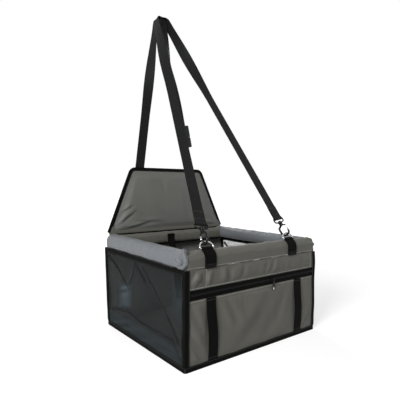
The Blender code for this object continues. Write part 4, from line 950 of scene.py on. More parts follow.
class InnerPanels(bpy.types.Operator):
    """Liner behind the pocket, leaning back panel and the cloth of the base."""

    bl_idname = "pet_seat.inner_panels"
    bl_label = "Liner, back and base"

    def execute(self, context):
        x, z = panel_grid(LINER_LOW, LINER_HIGH, 120, 60)
        middle = np.sin(math.pi * (z / WALL_TOP)) * np.sin(math.pi * (x / HALF_WIDTH + 1) / 2)
        dip = np.clip(0.0006 * ripple(x + 0.4 * z, 0.06, 11) * middle, 0, None)
        front = at(x, LINER_LOW[1], z)
        back = at(x, LINER_HIGH[1] + dip, z)
        flat_sheet("liner_cloth", front, back, "lining", "lining", "front_panel")
        self.back_panel()
        low, high = low_high("base_panel")
        x, y = np.meshgrid(spread(low[0], high[0], 60), spread(low[1], high[1], 60))
        under = at(x, y, low[2])
        over = at(x, y, high[2])
        flat_sheet("base_cloth", under, over, "base", "binding", "base_panel")
        return {"FINISHED"}

    def back_panel(self):
        """Leaning panel whose slack is a ripple and some folds that fade at its edges, and its lining,
        painted lighter inside as painted light.
        """
        x, z = np.meshgrid(spread(-HALF_WIDTH, HALF_WIDTH, 160), spread(0, WALL_TOP, 80))
        share = z / WALL_TOP
        middle = np.sin(math.pi * share) ** 0.8 * np.sin(math.pi * (x / HALF_WIDTH + 1) / 2) ** 0.8
        slack = 0.0006 * ripple(x - 0.3 * z, 0.07, 12) * middle
        slack = folded(slack, x, z, BACK_FOLDS, middle)
        slack = np.clip(slack, -0.0016, 0.0012)
        outer = at(x, back_face(z) + slack, z)
        inner = at(x, back_face(z) - FABRIC + slack, z)
        flat_sheet("back_panel_cloth", outer, inner, "oxford", "grey_oxford", "back_panel")
        # Painted light: a sheet just inside the panel, in the brightened back lining.
        near = inner * (0.98, 1, 1) - (0, TOUCH, 0)
        flat_sheet("back_panel_painted_light_lining", near, near - (0, FABRIC / 2, 0), "back", "lining")


def read_points(made):
    """An object's points as they lie."""
    points = np.zeros(len(made.data.vertices) * 3, np.float32)
    made.data.vertices.foreach_get("co", points)
    return points.reshape(-1, 3)


# The net's folds, and the corners of its slack bay of painted light, as shares across the side (front to
# back) and up it
FINE_FOLDS = (
    ((0.46, 0.90), (0.06, 0.27), 1.0),
    ((0.95, 0.90), (0.65, 0.58), 0.9),
    ((0.65, 0.58), (0.55, 0.92), 0.8),
    ((0.55, 0.90), (0.44, 0.74), 0.7),
    ((0.92, 0.24), (0.68, 0.31), 0.9),
    ((0.68, 0.31), (0.46, 0.25), 0.9),
    ((0.46, 0.25), (0.12, 0.26), 0.6),
    ((0.12, 0.26), (0.03, 0.10), 0.6),
)
PAINTED_LIGHT_BAY = ((0.79, 0.62), (0.60, 0.66), (0.62, 0.36), (0.82, 0.30))


def off_line(across, up, start, end):
    """Each point's distance off a straight fold in metres, and its share along it, past the ends too."""
    size = np.array((BACK_Y - FRONT_Y - 2 * ROLL_RADIUS, WALL_HEIGHT))
    run = (np.array(end) - start) * size
    point = at(across, up) * size - np.array(start) * size
    share = held(np.sum(point * run, axis=-1) / np.sum(run * run))
    return np.linalg.norm(point - share[..., None] * run, axis=-1), share


def crease_depth(across, up):
    """How far the net is drawn in. Each fold is a straight ridge, deepest in its middle, that fades out."""
    depth = np.zeros(across.shape)
    for start, end in CREASE_SHARES:
        off, share = off_line(across, up, start, end)
        ends = np.sin(math.pi * np.clip(share, 0.12, 0.88))
        depth = np.maximum(depth, held(1 - off / CREASE_HALF_WIDTH) * ends)
    sharp = np.zeros(across.shape)
    for start, end, amount in FINE_FOLDS:
        off, _ = off_line(across, up, start, end)
        sharp = np.maximum(sharp, amount * hump(off, 0, 0.0035))
    edge = held(np.minimum(np.minimum(across, 1 - across), np.minimum(up, 1 - up)) * 9)
    return (CREASE_DEPTH * depth + 0.0014 * sharp) * edge


def mark_creases(made):
    """Keeps on each point how near it lies to a fold, where the net paints shade and closes its holes, and
    how much painted light it gets: a lit slack bay, a glint beside the front corner and a lighter strip low
    down for the pad seen through.
    """
    _, y, z = read_points(made).T
    across = held((y - LINER_HIGH[1]) / (back_face(z) - LINER_HIGH[1]))
    up = z / WALL_TOP
    crease_and_painted_shade = np.zeros(len(y))
    for start, end, amount in FINE_FOLDS:
        off, _ = off_line(across, up, start, end)
        crease_and_painted_shade = np.maximum(crease_and_painted_shade, amount * hump(off, 0, 0.0030))
    lit = np.ones(len(y))
    corners = np.array(PAINTED_LIGHT_BAY)
    for (x0, z0), (x1, z1) in zip(corners, np.roll(corners, -1, axis=0)):
        inward = (across - x0) * (z1 - z0) - (up - z0) * (x1 - x0)
        lit = np.minimum(lit, held(-inward / math.hypot(x1 - x0, z1 - z0) / 0.09 + 0.25))
    # Painted light: a glint beside the front corner, and a lighter strip low down that stands in for the pad
    # seen through.
    painted_glint_by_post = held(1 - across / 0.16) * held(1 - np.abs(up - 0.66) / 0.26)
    painted_strip_under_pad = held((0.235 - up) / 0.05) * held((up - 0.03) / 0.05)
    lit = np.maximum(0.9 * lit, np.maximum(0.60 * painted_glint_by_post, 0.30 * painted_strip_under_pad))
    cloudy = 0.72 + 0.28 * ripple(up + 0.5 * across, 0.10, 22)
    for name, values in (("Crease and painted shade", crease_and_painted_shade), ("Slack light", lit * cloudy)):
        layer = made.data.attributes.new(name, "FLOAT", "POINT")
        layer.data.foreach_set("value", held(values).astype(np.float32))


class MeshSides(bpy.types.Operator):
    """See-through side panels, drawn in along straight slack folds."""

    bl_idname = "pet_seat.mesh_sides"
    bl_label = "Mesh sides"

    def execute(self, context):
        across, up = np.meshgrid(spread(0, 1, 200), spread(0, 1, 120))
        height = up * WALL_TOP
        front = LINER_HIGH[1] + TOUCH
        back = back_face(height) - FABRIC - TOUCH
        y = front + across * (back - front)
        edge = held(np.minimum(np.minimum(across, 1 - across), np.minimum(up, 1 - up)) * 7)
        fine = 0.0004 * ripple(across * 0.34 + 0.5 * height, 0.04, 21) * edge
        depth = np.clip(crease_depth(across, up) + fine, 0, None)
        for side, hand in ((-1, "left"), (1, "right")):
            outer = at(side * (HALF_WIDTH - depth), y, height)
            inner = outer - np.array([side * MESH_THICKNESS, 0, 0])
            made = flat_sheet(f"{hand}_netting", outer, inner, "net", "mesh", f"{hand}_mesh")
            mark_creases(made)
        return {"FINISHED"}


# Rim
# The front roll's ends, gathered on the left and puckered to a hole on the right: share of its radius, and X
FRONT_ROLL_LEFT = ((0.0, -0.1930), (0.50, -0.1932), (0.80, -0.1935), (0.94, -0.1930), (0.99, -0.1915))
FRONT_ROLL_RIGHT = (
    (0.995, 0.1905),
    (0.965, 0.1955),
    (0.88, 0.1990),
    (0.70, 0.2000),
    (0.48, 0.1988),
    (0.30, 0.1970),
    (0.19, 0.1990),
    (0.15, 0.1975),
    (0.14, 0.1955),
    (0.0, 0.1953),
)
# The corner gather's rings: shares of the roll's radius, and how far each is drawn out
GATHER_SHARES = (1.0, 1.035, 1.05, 1.04, 1.0, 0.9, 0.76, 0.6, 0.44, 0.3, 0.18, 0.08)
GATHER_DEPTHS = (0.0, 0.15, 0.35, 0.55, 0.72, 0.9, 1.0, 0.98, 0.86, 0.68, 0.52, 0.42)
# What is left of the rolls' and the band's height when the folded flap lies on them
BAND_SECTION_HEIGHT = 0.0310
BAND_SQUARENESS = 3.6
BAND_FOLDS = (
    (((-0.160, 0.212), (-0.105, 0.203)), 0.0016, 0.0035),
    (((-0.160, 0.222), (-0.120, 0.214)), 0.0014, 0.0040),
)
SIDE_ROLL_END = 0.1792
SIDE_ROLL_TIP = 0.0120
WELT_RADIUS = 0.0017


def pressed(made):
    """Gives this soft piece its own copy of its mesh."""
    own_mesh(made)


def beside_roll(rise):
    """How far from a roll's middle line a sleeve that meets it must end, at a rise above that line."""
    return np.sqrt(np.clip((ROLL_RADIUS + TOUCH) ** 2 - rise**2, 0, None))


def roll_section(outward, count=56):
    """A roll's section as shares of its radius: a circle, squared off in the quarter over the wall."""
    turn = full_turn(count)
    across, rise = np.cos(turn), np.sin(turn)
    squared = held(across * outward) * held(-rise)
    power = 2 + 9 * held(squared * 2) ** 0.6
    reach = (np.abs(across) ** power + np.abs(rise) ** power) ** (-1 / power)
    return at(across * reach, rise * reach), turn


class FrontRoll(bpy.types.Operator):
    """Front roll: a padded sleeve, gathered shut on its left and puckered to a small hole on its right."""

    bl_idname = "pet_seat.front_roll"
    bl_label = "Front roll"

    def execute(self, context):
        section, turn = roll_section(-1)
        x = [spread(-0.1865, -0.150, 26), spread(-0.150, 0.150, 150)[1:-1], spread(0.150, 0.1865, 26)]
        middle = [(1.0, place) for place in np.concatenate(x)]
        profile = np.array([*FRONT_ROLL_LEFT, *middle, *FRONT_ROLL_RIGHT])
        share, place = profile[:, :1], profile[:, 1:]
        radius = ROLL_RADIUS * share * np.ones_like(turn)
        near_left = held((-0.150 - place) / 0.045)
        near_right = held((place - 0.155) / 0.040)
        flank = held(share * 3 - 0.6) * held((1.12 - share) * 3)
        gathers = 0.0011 * np.cos(9 * turn + 1.3 + 60 * place) * near_left * share
        gathers = gathers + 0.0007 * np.cos(7 * turn + 0.4 - 80 * place) * near_right * share
        slack = 0.0009 * ripple(place + 0.012 * turn, 0.045, 31) * (share > 0.99)
        crushed = 0.0014 * ripple(turn * 0.01 + 0.35 * place, 0.014, 33)
        slack = slack + crushed * (near_left + near_right) * (share > 0.9)
        top = held(np.sin(turn))[None, :]
        radius = radius + (gathers + slack) - 0.0007 * (share > 0.9) * top
        shift = 0.0016 * np.cos(8 * turn + 0.7) * flank * near_left
        shift = shift - 0.0012 * np.cos(7 * turn) * flank * near_right
        ear = hump(turn, math.radians(100), 0.30) * hump(place, -0.1965, 0.0045)
        radius = radius + 0.0042 * ear * (share > 0.6)
        across = ROLL_Y + radius * section[:, 0]
        rise = RIM_Z + radius * section[:, 1]
        points = at(place + shift, across, rise)
        points[..., 1] = np.maximum(points[..., 1], ROLL_Y - ROLL_RADIUS)
        points[..., 2] = np.maximum(points[..., 2], WALL_HEIGHT)
        front = np.abs(points[..., 1] - FRONT_Y) < 0.002
        points[..., 1] = np.where(front & (points[..., 2] < 0.222), FRONT_Y, points[..., 1])
        patch = grid(points, wrap_columns=True)
        sewn("front_roll_cloth", [patch], "oxford", "grey_oxford", "front_roll", sharp=60)
        self.corner_gather()
        return {"FINISHED"}

    def corner_gather(self):
        """The side roll's cloth over the front roll's left end: sharp pleats that run to a pinched middle,
        each 1 less a power of a sine round it, with one ear that stands up."""
        turn = full_turn(168)
        share = np.array(GATHER_SHARES)[:, None]
        depth = np.array(GATHER_DEPTHS)[:, None]
        wound = turn + 0.55 * np.sin(turn + 0.8) + 0.9 * (1 - share)
        crest = 1 - np.abs(np.sin(2.5 * wound + 0.4)) ** 1.1
        crest = crest + 0.35 * (1 - np.abs(np.sin(6 * turn + 2.1 - 1.5 * share))) ** 2
        pleat = crest - crest.mean()
        out = -0.1935 - 0.0085 * depth - 0.0034 * pleat * np.sin(math.pi * np.clip(depth, 0, 0.8))
        ear = hump(turn, math.radians(112), 0.30) * hump(share, 1.03, 0.10)
        radius = ROLL_RADIUS * share * (1 + 0.05 * pleat * depth) + 0.0085 * ear
        out = out - 0.0025 * ear
        sunk = 1 - share.clip(0, 1)
        y = ROLL_Y + radius * np.cos(turn) - 0.005 * sunk
        z = RIM_Z + radius * np.sin(turn) - 0.006 * sunk
        rings = at(out + 0 * y, np.maximum(y, FRONT_Y - 0.0012), np.maximum(z, WALL_HEIGHT))
        sewn("left_corner_gather", [closed_tube(rings)], "roll", "blue_grey_oxford", sharp=50)


class SideRolls(bpy.types.Operator):
    """Side rolls: smooth sleeves fitted to the front roll, with closed round ends at the back corners."""

    bl_idname = "pet_seat.side_rolls"
    bl_label = "Side rolls"

    def execute(self, context):
        for side, hand, seed in ((-1, "left", 41), (1, "right", 42)):
            section, turn = roll_section(side)
            run = spread(0, 1, 110)[:, None]
            bend = np.sin(np.linspace(0, math.pi / 2, 16))[:, None]
            saddle = beside_roll(ROLL_RADIUS * section[:, 1])
            start = ROLL_Y + saddle
            body = start + run * (SIDE_ROLL_END - SIDE_ROLL_TIP - start)
            tip = SIDE_ROLL_END - SIDE_ROLL_TIP + SIDE_ROLL_TIP * bend[1:] * np.ones_like(turn)
            y = np.concatenate([body, tip])
            reach = np.concatenate([np.ones_like(run), held(1 - bend[1:] ** 3) ** (1 / 3)])
            slack = 0.0005 * ripple(y + 0.006 * turn, 0.050, seed)
            slack = slack + 0.0003 * ripple(y - 0.01 * turn, 0.021, seed + 5)
            lower = 0.0009 * held(-0.35 - np.sin(turn))
            along = np.concatenate([np.sin(math.pi * run) ** 0.5, np.zeros((15, 1))])
            radius = ROLL_RADIUS * reach - (0.0005 - slack * 0.8 + lower) * along
            x = side * ROLL_X + radius * section[:, 0]
            z = RIM_Z + radius * section[:, 1]
            rings = at(x, y, np.maximum(z, WALL_HEIGHT))
            names = f"{hand}_roll_cloth", [closed_tube(rings)], "roll", "blue_grey_oxford", f"{hand}_roll"
            pressed(sewn(*names, sharp=60))
        return {"FINISHED"}


def band_section(count=64):
    """The band's section, from its middle: a rounded rectangle, made by a power on both ways."""
    turn = full_turn(count)
    across, rise = np.cos(turn), np.sin(turn)
    reach = (np.abs(across) ** BAND_SQUARENESS + np.abs(rise) ** BAND_SQUARENESS) ** (-1 / BAND_SQUARENESS)
    return at(across * reach * ROLL_RADIUS, rise * reach * (BAND_SECTION_HEIGHT / 2))


class BackBand(bpy.types.Operator):
    """Flatter band along the back, fitted between the side rolls, with the seam that holds the flap."""

    bl_idname = "pet_seat.back_band"
    bl_label = "Back band"

    def execute(self, context):
        section = band_section()
        middle_z = WALL_HEIGHT + BAND_SECTION_HEIGHT / 2
        height = middle_z + section[:, 1]
        reach = ROLL_X - beside_roll(height - RIM_Z)
        run = spread(-1, 1, 170)[:, None]
        x = run * reach
        slack = 0.0006 * ripple(x + 0.4 * section[:, 1], 0.05, 51) + 0.0004 * ripple(x, 0.02, 52)
        slack = folded(slack, x, height + 0 * x, BAND_FOLDS, section[:, 0] < 0)
        ends = held((1 - np.abs(run)) * 14)
        scale = 1 - (0.0006 - slack) * ends / ROLL_RADIUS
        points = at(x, BAND_Y + section[:, 0] * scale, middle_z + section[:, 1] * scale)
        points[..., 2] = np.maximum(points[..., 2], WALL_HEIGHT)
        points[..., 1] = np.minimum(points[..., 1], BACK_Y)
        made = sewn("back_band_cloth", [closed_tube(points)], "oxford", "grey_oxford", "back_band", sharp=60)
        pressed(made)
        self.seam()
        return {"FINISHED"}

    def seam(self):
        """Dark tape: a welt from the band up into the flap's foot and one behind the band's foot, and, as
        painted shade, a dark welt along the band's front foot and two strips up its ends.
        """
        top, foot = HINGE_Z - 0.0003, 0.2225
        route = at(spread(-0.184, 0.184, 90), HINGE_Y, (foot + top) / 2)
        upper = sweep(route, tape_section(top - foot, 0.0030, 0.0008, 5), (0, 0, 1))
        # Painted shade: a dark welt along the band's front foot, where the band's shadow falls.
        route = at(spread(-0.163, 0.163, 90), BAND_Y - 0.0125, WALL_HEIGHT)
        route[:, 2] += 0.0004 * ripple(route[:, 0], 0.05, 53)
        lower = sweep(route, round_section(WELT_RADIUS, 8), (0, 0, 1))
        behind = route + (0, BACK_Y - 0.0030 - (BAND_Y - 0.0125), 0)
        strips = [upper, lower, sweep(behind, round_section(WELT_RADIUS, 8), (0, 0, 1))]
        # Painted shade: dark strips up the band's two ends, where it meets the side rolls.
        for side in (-1, 1):
            low = (side * 0.1662, BAND_Y - 0.0140, WALL_HEIGHT)
            bend = (side * 0.1632, BAND_Y - 0.0140, RIM_Z)
            high = (side * 0.1665, BAND_Y - 0.0105, RIM_Z + 0.0080)
            route = smooth_route(np.array((low, bend, high)), 14)
            strips.append(sweep(route, tape_section(0.0050, 0.0018, 0.0006, 4), (1, 0, 0)))
        sewn("flap_seam", strips, "tape", "binding")


# Bindings

# The base tape's section: how far out and how high
BASE_TAPE_SECTION = (
    (0.0, 0.0),
    (0.0009, 0.0),
    (0.0012, 0.0004),
    (0.0012, 0.0055),
    (0.0012, 0.0104),
    (0.0008, 0.0110),
    (0.0, 0.0110),
    (0.0, 0.0055),
)


def corner_ring(side, end, edge_y):
    """The L of a binding folded round an upright edge, with its outer corner rounded."""
    outer_x, inner_x = side * (HALF_WIDTH + TOUCH + BINDING_TAPE), side * (HALF_WIDTH + TOUCH)
    outer_y, inner_y = edge_y + end * (TOUCH + BINDING_TAPE), edge_y + end * TOUCH
    stop_x = outer_x - side * BINDING_WIDTH
    stop_y = outer_y - end * BINDING_WIDTH
    soft = 0.0018
    turn = np.radians(np.linspace(0, 90, 6))
    bend_x = outer_x - side * soft * (1 - np.sin(turn))
    bend_y = outer_y - end * soft * (1 - np.cos(turn))
    front_x = np.linspace(stop_x, outer_x - side * soft, 6)[:-1]
    side_y = np.linspace(outer_y - end * soft, stop_y, 6)[1:]
    edge = 0.0004
    half = BINDING_TAPE / 2
    x = [[stop_x - side * edge], front_x, bend_x, np.full(5, outer_x), [outer_x - side * half]]
    y = [[outer_y - end * half], np.full(5, outer_y), bend_y, side_y, [stop_y - end * edge]]
    x.append([inner_x, inner_x, stop_x])
    y.append([stop_y, inner_y, inner_y])
    return at(np.concatenate(x), np.concatenate(y))


class Bindings(bpy.types.Operator):
    """Black tape round the upright corners, round the base and under the side rolls, a little wavy."""

    bl_idname = "pet_seat.bindings"
    bl_label = "Bindings"

    def execute(self, context):
        wave = context.scene.seat_sizes.binding_wave
        for end, word in ((-1, "front"), (1, "back")):
            for side, hand in ((-1, "left"), (1, "right")):
                heights = spread(BINDING_WIDTH + TOUCH, WALL_TOP, 90)
                rings = []
                for height in heights:
                    edge = FRONT_Y if end < 0 else float(back_face(height))
                    rings.append(np.insert(corner_ring(side, end, edge), 2, height, axis=1))
                rings = np.array(rings)
                shift = wave * (0.5 + 0.5 * ripple(heights, 0.06, 61 + side + 3 * end))
                if (end, side) == (-1, 1):
                    shift = shift + 0.0021 * hump(heights, 0.170, 0.020)
                    shift = shift + 0.0016 * hump(heights, 0.070, 0.030)
                ends = held(np.minimum(heights - heights[0], heights[-1] - heights) / 0.012)
                rings[..., 0] += (side * shift * ends)[:, None]
                name = f"{word}_{hand}"
                sewn(f"{name}_tape", [closed_tube(rings)], "tape", "binding", f"{name}_binding")
        self.base_tape()
        self.rim_tapes()
        return {"FINISHED"}

    def base_tape(self):
        """Tape round the base: its section, carried round a rectangle with round corners."""
        x, front, back = HALF_WIDTH + TOUCH, FRONT_Y - TOUCH, float(back_face(0)) + TOUCH
        soft = 0.003
        turn = np.radians(np.linspace(0, 90, 7))
        round_x, round_y = soft * (1 - np.cos(turn)), soft * (1 - np.sin(turn))
        corners = [
            at(-x + round_x[::-1], back - round_y[::-1])[::-1],
            at(x - round_x, back - round_y)[::-1],
            at(x - round_x, front + round_y),
            at(-x + round_x[::-1], front + round_y[::-1]),
        ]
        loop = np.concatenate(corners)
        loop = even_route(np.concatenate([loop, loop[:1]]), 0.004)[:-1]
        centre = loop.mean(axis=0)
        section = np.array(BASE_TAPE_SECTION)
        along = unit(np.roll(loop, -1, axis=0) - np.roll(loop, 1, axis=0))
        outward = at(along[:, 1], -along[:, 0])
        outward *= np.sign(np.sum(outward * (loop - centre), axis=1, keepdims=True))
        place = np.concatenate([[0.0], np.cumsum(np.linalg.norm(np.diff(loop, axis=0), axis=1))])
        lift = 0.0004 * ripple(place, 0.07, 66)
        flat = loop[:, None] + outward[:, None] * section[:, :1]
        rise = section[:, 1] + lift[:, None] * (section[:, 1] / 0.011)
        lean = back_face(rise) - back_face(0)
        flat[..., 1] += np.where(loop[:, 1:] > 0, lean, 0.0)
        points = np.concatenate([flat, rise[..., None]], axis=-1)
        patch = grid(points, wrap_rows=True, wrap_columns=True)
        sewn("base_tape", [patch], "tape", "binding", "base_binding")

    def rim_tapes(self):
        """Tapes under the side rolls, each a flat section along Y that droops by a ripple."""
        for hand in ("left", "right"):
            low, high = low_high(f"{hand}_rim_binding")
            y = spread(low[1], high[1] - 0.0002, 80)
            route = at((low[0] + high[0]) / 2, y, (low[2] + high[2]) / 2)
            route[:, 2] -= 0.0005 * (0.5 + 0.5 * ripple(y, 0.06, 67))
            section = tape_section(float(high[2] - low[2]), BINDING_TAPE, 0.0005, 6)
            patch = sweep(route, section, (0, 0, 1))
            sewn(f"{hand}_rim_tape", [patch], "tape", "binding", f"{hand}_rim_binding")


# Zip


class PocketZip(bpy.types.Operator):
    """Zip: two ribbed tapes, a chain of interlocked teeth, the slider and its pull with a bright tip."""

    bl_idname = "pet_seat.pocket_zip"
    bl_label = "Pocket zip"

    def execute(self, context):
        for word in ("upper", "lower"):
            low, high = low_high(f"zip_tape_{word}")
            x, z = panel_grid(low, high, 160, 8)
            share = math.pi * (z - low[2]) / (high[2] - low[2])
            out = 0.0003 * (0.5 + 0.5 * ripple(x, 0.05, 71)) * np.sin(share)
            outer = at(x, low[1] - out, z)
            inner = at(x, high[1], z)
            sewn(f"zip_tape_{word}_cloth", [slab(outer, inner)], "tape", "binding", f"zip_tape_{word}")
        self.teeth(context.scene.seat_sizes.tooth_pitch)
        bevelled_copy("zip_slider", "zip_slider_body", "slider", "black_metal", 0.00035)
        bevelled_copy("zip_pull", "zip_pull_plate", "pull", "black_metal", 0.0003)
        self.pull_tip()
        return {"FINISHED"}

    def teeth(self, pitch):
        """Each tooth is a ball stretched across the chain and squared by a power, in turns up and down."""
        count = int((TEETH_HIGH[0] - TEETH_LOW[0] - pitch) / pitch)
        turn = full_turn(8)
        rise = np.linspace(0, math.pi, 5)
        wide = np.sign(np.cos(turn)) * np.abs(np.cos(turn)) ** 0.6
        deep = np.sign(np.sin(turn)) * np.abs(np.sin(turn)) ** 0.6
        bulge = np.sin(rise)[:, None] ** 0.5
        ball = at(bulge * wide * pitch * 0.36, bulge * deep * 0.0010, -np.cos(rise)[:, None] * 0.0017)
        place = TEETH_LOW[0] + pitch * (np.arange(count) + 0.75)
        shift = np.where(np.arange(count) % 2, 0.0004, -0.0004)
        middle = at(place, FRONT_Y - 0.0004, ZIP_HEIGHT + shift)
        patch = repeated(ball, ball.reshape(1, -1, 3) + middle[:, None])
        core = at(spread(TEETH_LOW[0], TEETH_HIGH[0], 90), FRONT_Y + 0.0002, ZIP_HEIGHT)
        strip = sweep(core, tape_section(0.0043, 0.0009, 0.0003, 4), (0, 0, 1))
        sewn("zip_chain", [patch, strip], "black_plastic", "black_plastic", "zip_teeth")

    def pull_tip(self):
        """Bright rim of the pull's hole: a wire round an ellipse."""
        low, high = low_high("zip_pull")
        middle = (low + high) / 2
        turn = full_turn(28)
        height = low[2] + 0.0044 + 0.0029 * np.sin(turn)
        route = at(middle[0] + 0.0017 * np.cos(turn), low[1] - 0.0001, height)
        rim = sweep(route, round_section(0.00055, 8), (0, 1, 0), closed=True)
        piece("zip_pull_tip", [rim], "pull", "nickel")


# The pocket's two straps: side, hand, and how far each leans
POCKET_WEBS = ((-1, "left", -0.0030), (1, "right", -0.0012))


class PocketWebs(bpy.types.Operator):
    """Two webbing straps sewn from the zip to the base, bowed off the pocket and a little crooked."""

    bl_idname = "pet_seat.pocket_webs"
    bl_label = "Pocket webbing"

    def execute(self, context):
        low, high = BINDING_WIDTH + TOUCH, float(POCKET_HIGH[2])
        z = spread(low, high, 60)
        share = (z - low) / (high - low)
        for side, hand, lean in POCKET_WEBS:
            name = f"pocket_web_{hand}"
            bow = POCKET_WEB_BOW * np.sin(math.pi * share) ** 2 + 0.0004 * np.sin(3 * math.pi * share) ** 2
            x = side * POCKET_WEB_X + lean * (2 * share - 1) + 0.0010 * np.sin(2 * math.pi * share)
            route = at(x, FRONT_Y - TOUCH - STRAP_THICKNESS / 2 - bow, z)
            section = tape_section(POCKET_WEB_WIDTH, STRAP_THICKNESS)
            sewn(f"{name}_strap", [sweep(route, section, (1, 0, 0))], "tape", "webbing", name)
        return {"FINISHED"}


# Ring tabs and D rings


def ring_bar_centre(x):
    """Where a D ring's straight bar lies, over the front roll."""
    reach = ROLL_RADIUS + TOUCH + RING_WIRE / 2 + TOUCH + TAB_THICKNESS / 2
    return np.array((x, ROLL_Y - reach * math.cos(TAB_WRAP), RIM_Z + reach * math.sin(TAB_WRAP)))


def ring_top(x):
    """Where a D ring's wire is highest along its lean."""
    return ring_bar_centre(x) + RING_HEIGHT * np.array((0.0, math.sin(RING_LEAN), math.cos(RING_LEAN)))


def arc(centre, radius, start, end, steps):
    """Points of an arc between two angles in degrees."""
    turn = np.radians(np.linspace(start, end, steps + 1))
    return np.stack([centre[0] + radius * np.cos(turn), centre[1] + radius * np.sin(turn)], axis=1)


class RingTabs(bpy.types.Operator):
    """Doubled webbing tabs: up the front of the rim, over it, round the ring's bar and back inside."""

    bl_idname = "pet_seat.ring_tabs"
    bl_label = "Ring tabs"

    def execute(self, context):
        for hand, x in (("left", TAB_LEFT_X), ("right", TAB_RIGHT_X)):
            layer = 0.00145
            inner = ROLL_RADIUS + TOUCH + layer / 2
            outer = ROLL_RADIUS + TOUCH + TAB_THICKNESS - layer / 2
            bar = ring_bar_centre(x)[1:] - (ROLL_Y, RIM_Z)
            wrap = 180 - math.degrees(TAB_WRAP)
            loop = RING_WIRE / 2 + TOUCH + layer / 2
            path = np.concatenate(
                [
                    [(-outer, -ROLL_RADIUS), (-outer, -ROLL_RADIUS / 2)],
                    arc((0, 0), outer, 180, wrap + 12, 14),
                    arc(bar, loop, wrap + 75, wrap - 165, 16),
                    arc((0, 0), inner, wrap + 6, 180, 14),
                    [(-inner, -ROLL_RADIUS / 2), (-inner, -ROLL_RADIUS)],
                ]
            )
            route = np.insert(even_route(path + (ROLL_Y, RIM_Z), 0.0009), 0, x, axis=1)
            section = tape_section(STRAP_WIDTH, layer, 0.0005)
            patch = sweep(route, section, (1, 0, 0))
            sewn(f"{hand}_ring_loop", [patch], "tape", "webbing", f"{hand}_ring_tab")
        return {"FINISHED"}


class DRings(bpy.types.Operator):
    """Bright D rings: a round wire along a straight bar and half an ellipse."""

    bl_idname = "pet_seat.d_rings"
    bl_label = "D rings"

    def execute(self, context):
        corner = RING_HALF_BAR - RING_CORNER
        right = arc((corner, RING_CORNER), RING_CORNER, -90, 0, 6)
        arch = arc((0, 0), 1.0, 0, 180, 40)[1:-1] * (RING_HALF_BAR, RING_HEIGHT - RING_CORNER)
        arch = arch + (0, RING_CORNER)
        left = arc((-corner, RING_CORNER), RING_CORNER, 180, 270, 6)
        flat = np.concatenate([right, arch, left])
        flat = even_route(np.concatenate([flat, flat[:1]]), 0.0011)[:-1]
        upward = np.array((0.0, math.sin(RING_LEAN), math.cos(RING_LEAN)))
        facing = np.cross((1.0, 0.0, 0.0), upward)
        for hand, x in (("left", TAB_LEFT_X), ("right", TAB_RIGHT_X)):
            route = ring_bar_centre(x) + flat[:, :1] * (1.0, 0.0, 0.0) + flat[:, 1:] * upward
            patch = sweep(route, round_section(RING_WIRE / 2, 14), facing, closed=True)
            piece(f"{hand}_d_ring_wire", [patch], f"{hand}_d_ring", "nickel", [f"{hand}_ring"])
        return {"FINISHED"}


# Hanging straps


class Loop:
    """A taut strap's route from one fixing, over a round support, down to another, all in one plane.
    Each strand is flat for a stretch above its fixing and then turns, towards one way or the other."""

    def __init__(self, left, right, centre, radius):
        self.centre = np.asarray(centre, dtype=float)
        self.radius = radius
        self.flats = {}
        self.ways = {}
        self.normal = unit(np.cross(left - self.centre, right - self.centre))
        self.fixings = {-1: left, 1: right}
        self.tangents = {side: self.tangent(side) for side in (-1, 1)}
        self.facing = self.normal if self.normal[1] < 0 else -self.normal

    def tangent(self, side):
        """Where the straight strand meets the round support."""
        reach = self.fixings[side] - self.centre
        distance = np.linalg.norm(reach)
        along = reach / distance
        outward = side * np.cross(self.normal, along)
        swing = math.acos(self.radius / distance)
        return self.centre + self.radius * (math.cos(swing) * along + math.sin(swing) * outward)

    def twist(self, side, flat, way):
        """Says how far a strand stays flat and which way it then turns."""
        self.flats[side] = flat
        self.ways[side] = way

    def up(self, side):
        """The strand's direction from its fixing."""
        return unit(self.tangents[side] - self.fixings[side])

    def across(self, side):
        """The flat strap's width direction at the fixing, towards +X."""
        square = unit(np.cross(self.facing, self.up(side)))
        return square if square[0] > 0 else -square

    def strand(self, side, start):
        """Points up one strand, with the strap's width direction at each, which turns by a quarter."""
        flat = self.flats[side]
        length = np.linalg.norm(self.tangents[side] - self.fixings[side])
        lower = np.linspace(start, flat, 90, endpoint=False)
        reach = np.concatenate([lower, np.linspace(flat, length, 90, endpoint=False)])
        share = held((reach - flat) / (length - flat))
        turn = (3 * share**2 - 2 * share**3) * math.pi / 2
        points = self.fixings[side] + reach[:, None] * self.up(side)
        square = self.ways[side] * self.across(side)
        return points, np.cos(turn)[:, None] * square + np.sin(turn)[:, None] * self.facing

    def arch(self):
        """Points over the support, where the strap lies flat on it."""
        first = (self.tangents[-1] - self.centre) / self.radius
        last = (self.tangents[1] - self.centre) / self.radius
        wrap = math.acos(float(np.dot(first, last)))
        share = np.linspace(0, 1, 40)[:, None]
        round_part = (np.sin((1 - share) * wrap) * first + np.sin(share * wrap) * last) / math.sin(wrap)
        level = np.sin(math.pi * share)
        widths = (1 - level) * self.facing + level * np.array((0.0, -1.0, 0.0))
        return self.centre + self.radius * round_part, widths


def front_loop():
    """The front strap's route, which lies on the rear strap over the support."""
    radius = (REAR_ARCH_RADIUS + STRAP_THICKNESS + STRAP_LAP) / math.cos(RING_LEAN)
    loop = Loop(ring_top(TAB_LEFT_X), ring_top(TAB_RIGHT_X), (ARCH_X, FRONT_ARCH_Y, ARCH_HEIGHT), radius)
    for side in (-1, 1):
        loop.twist(side, FRONT_FLAT, 1)
    return loop


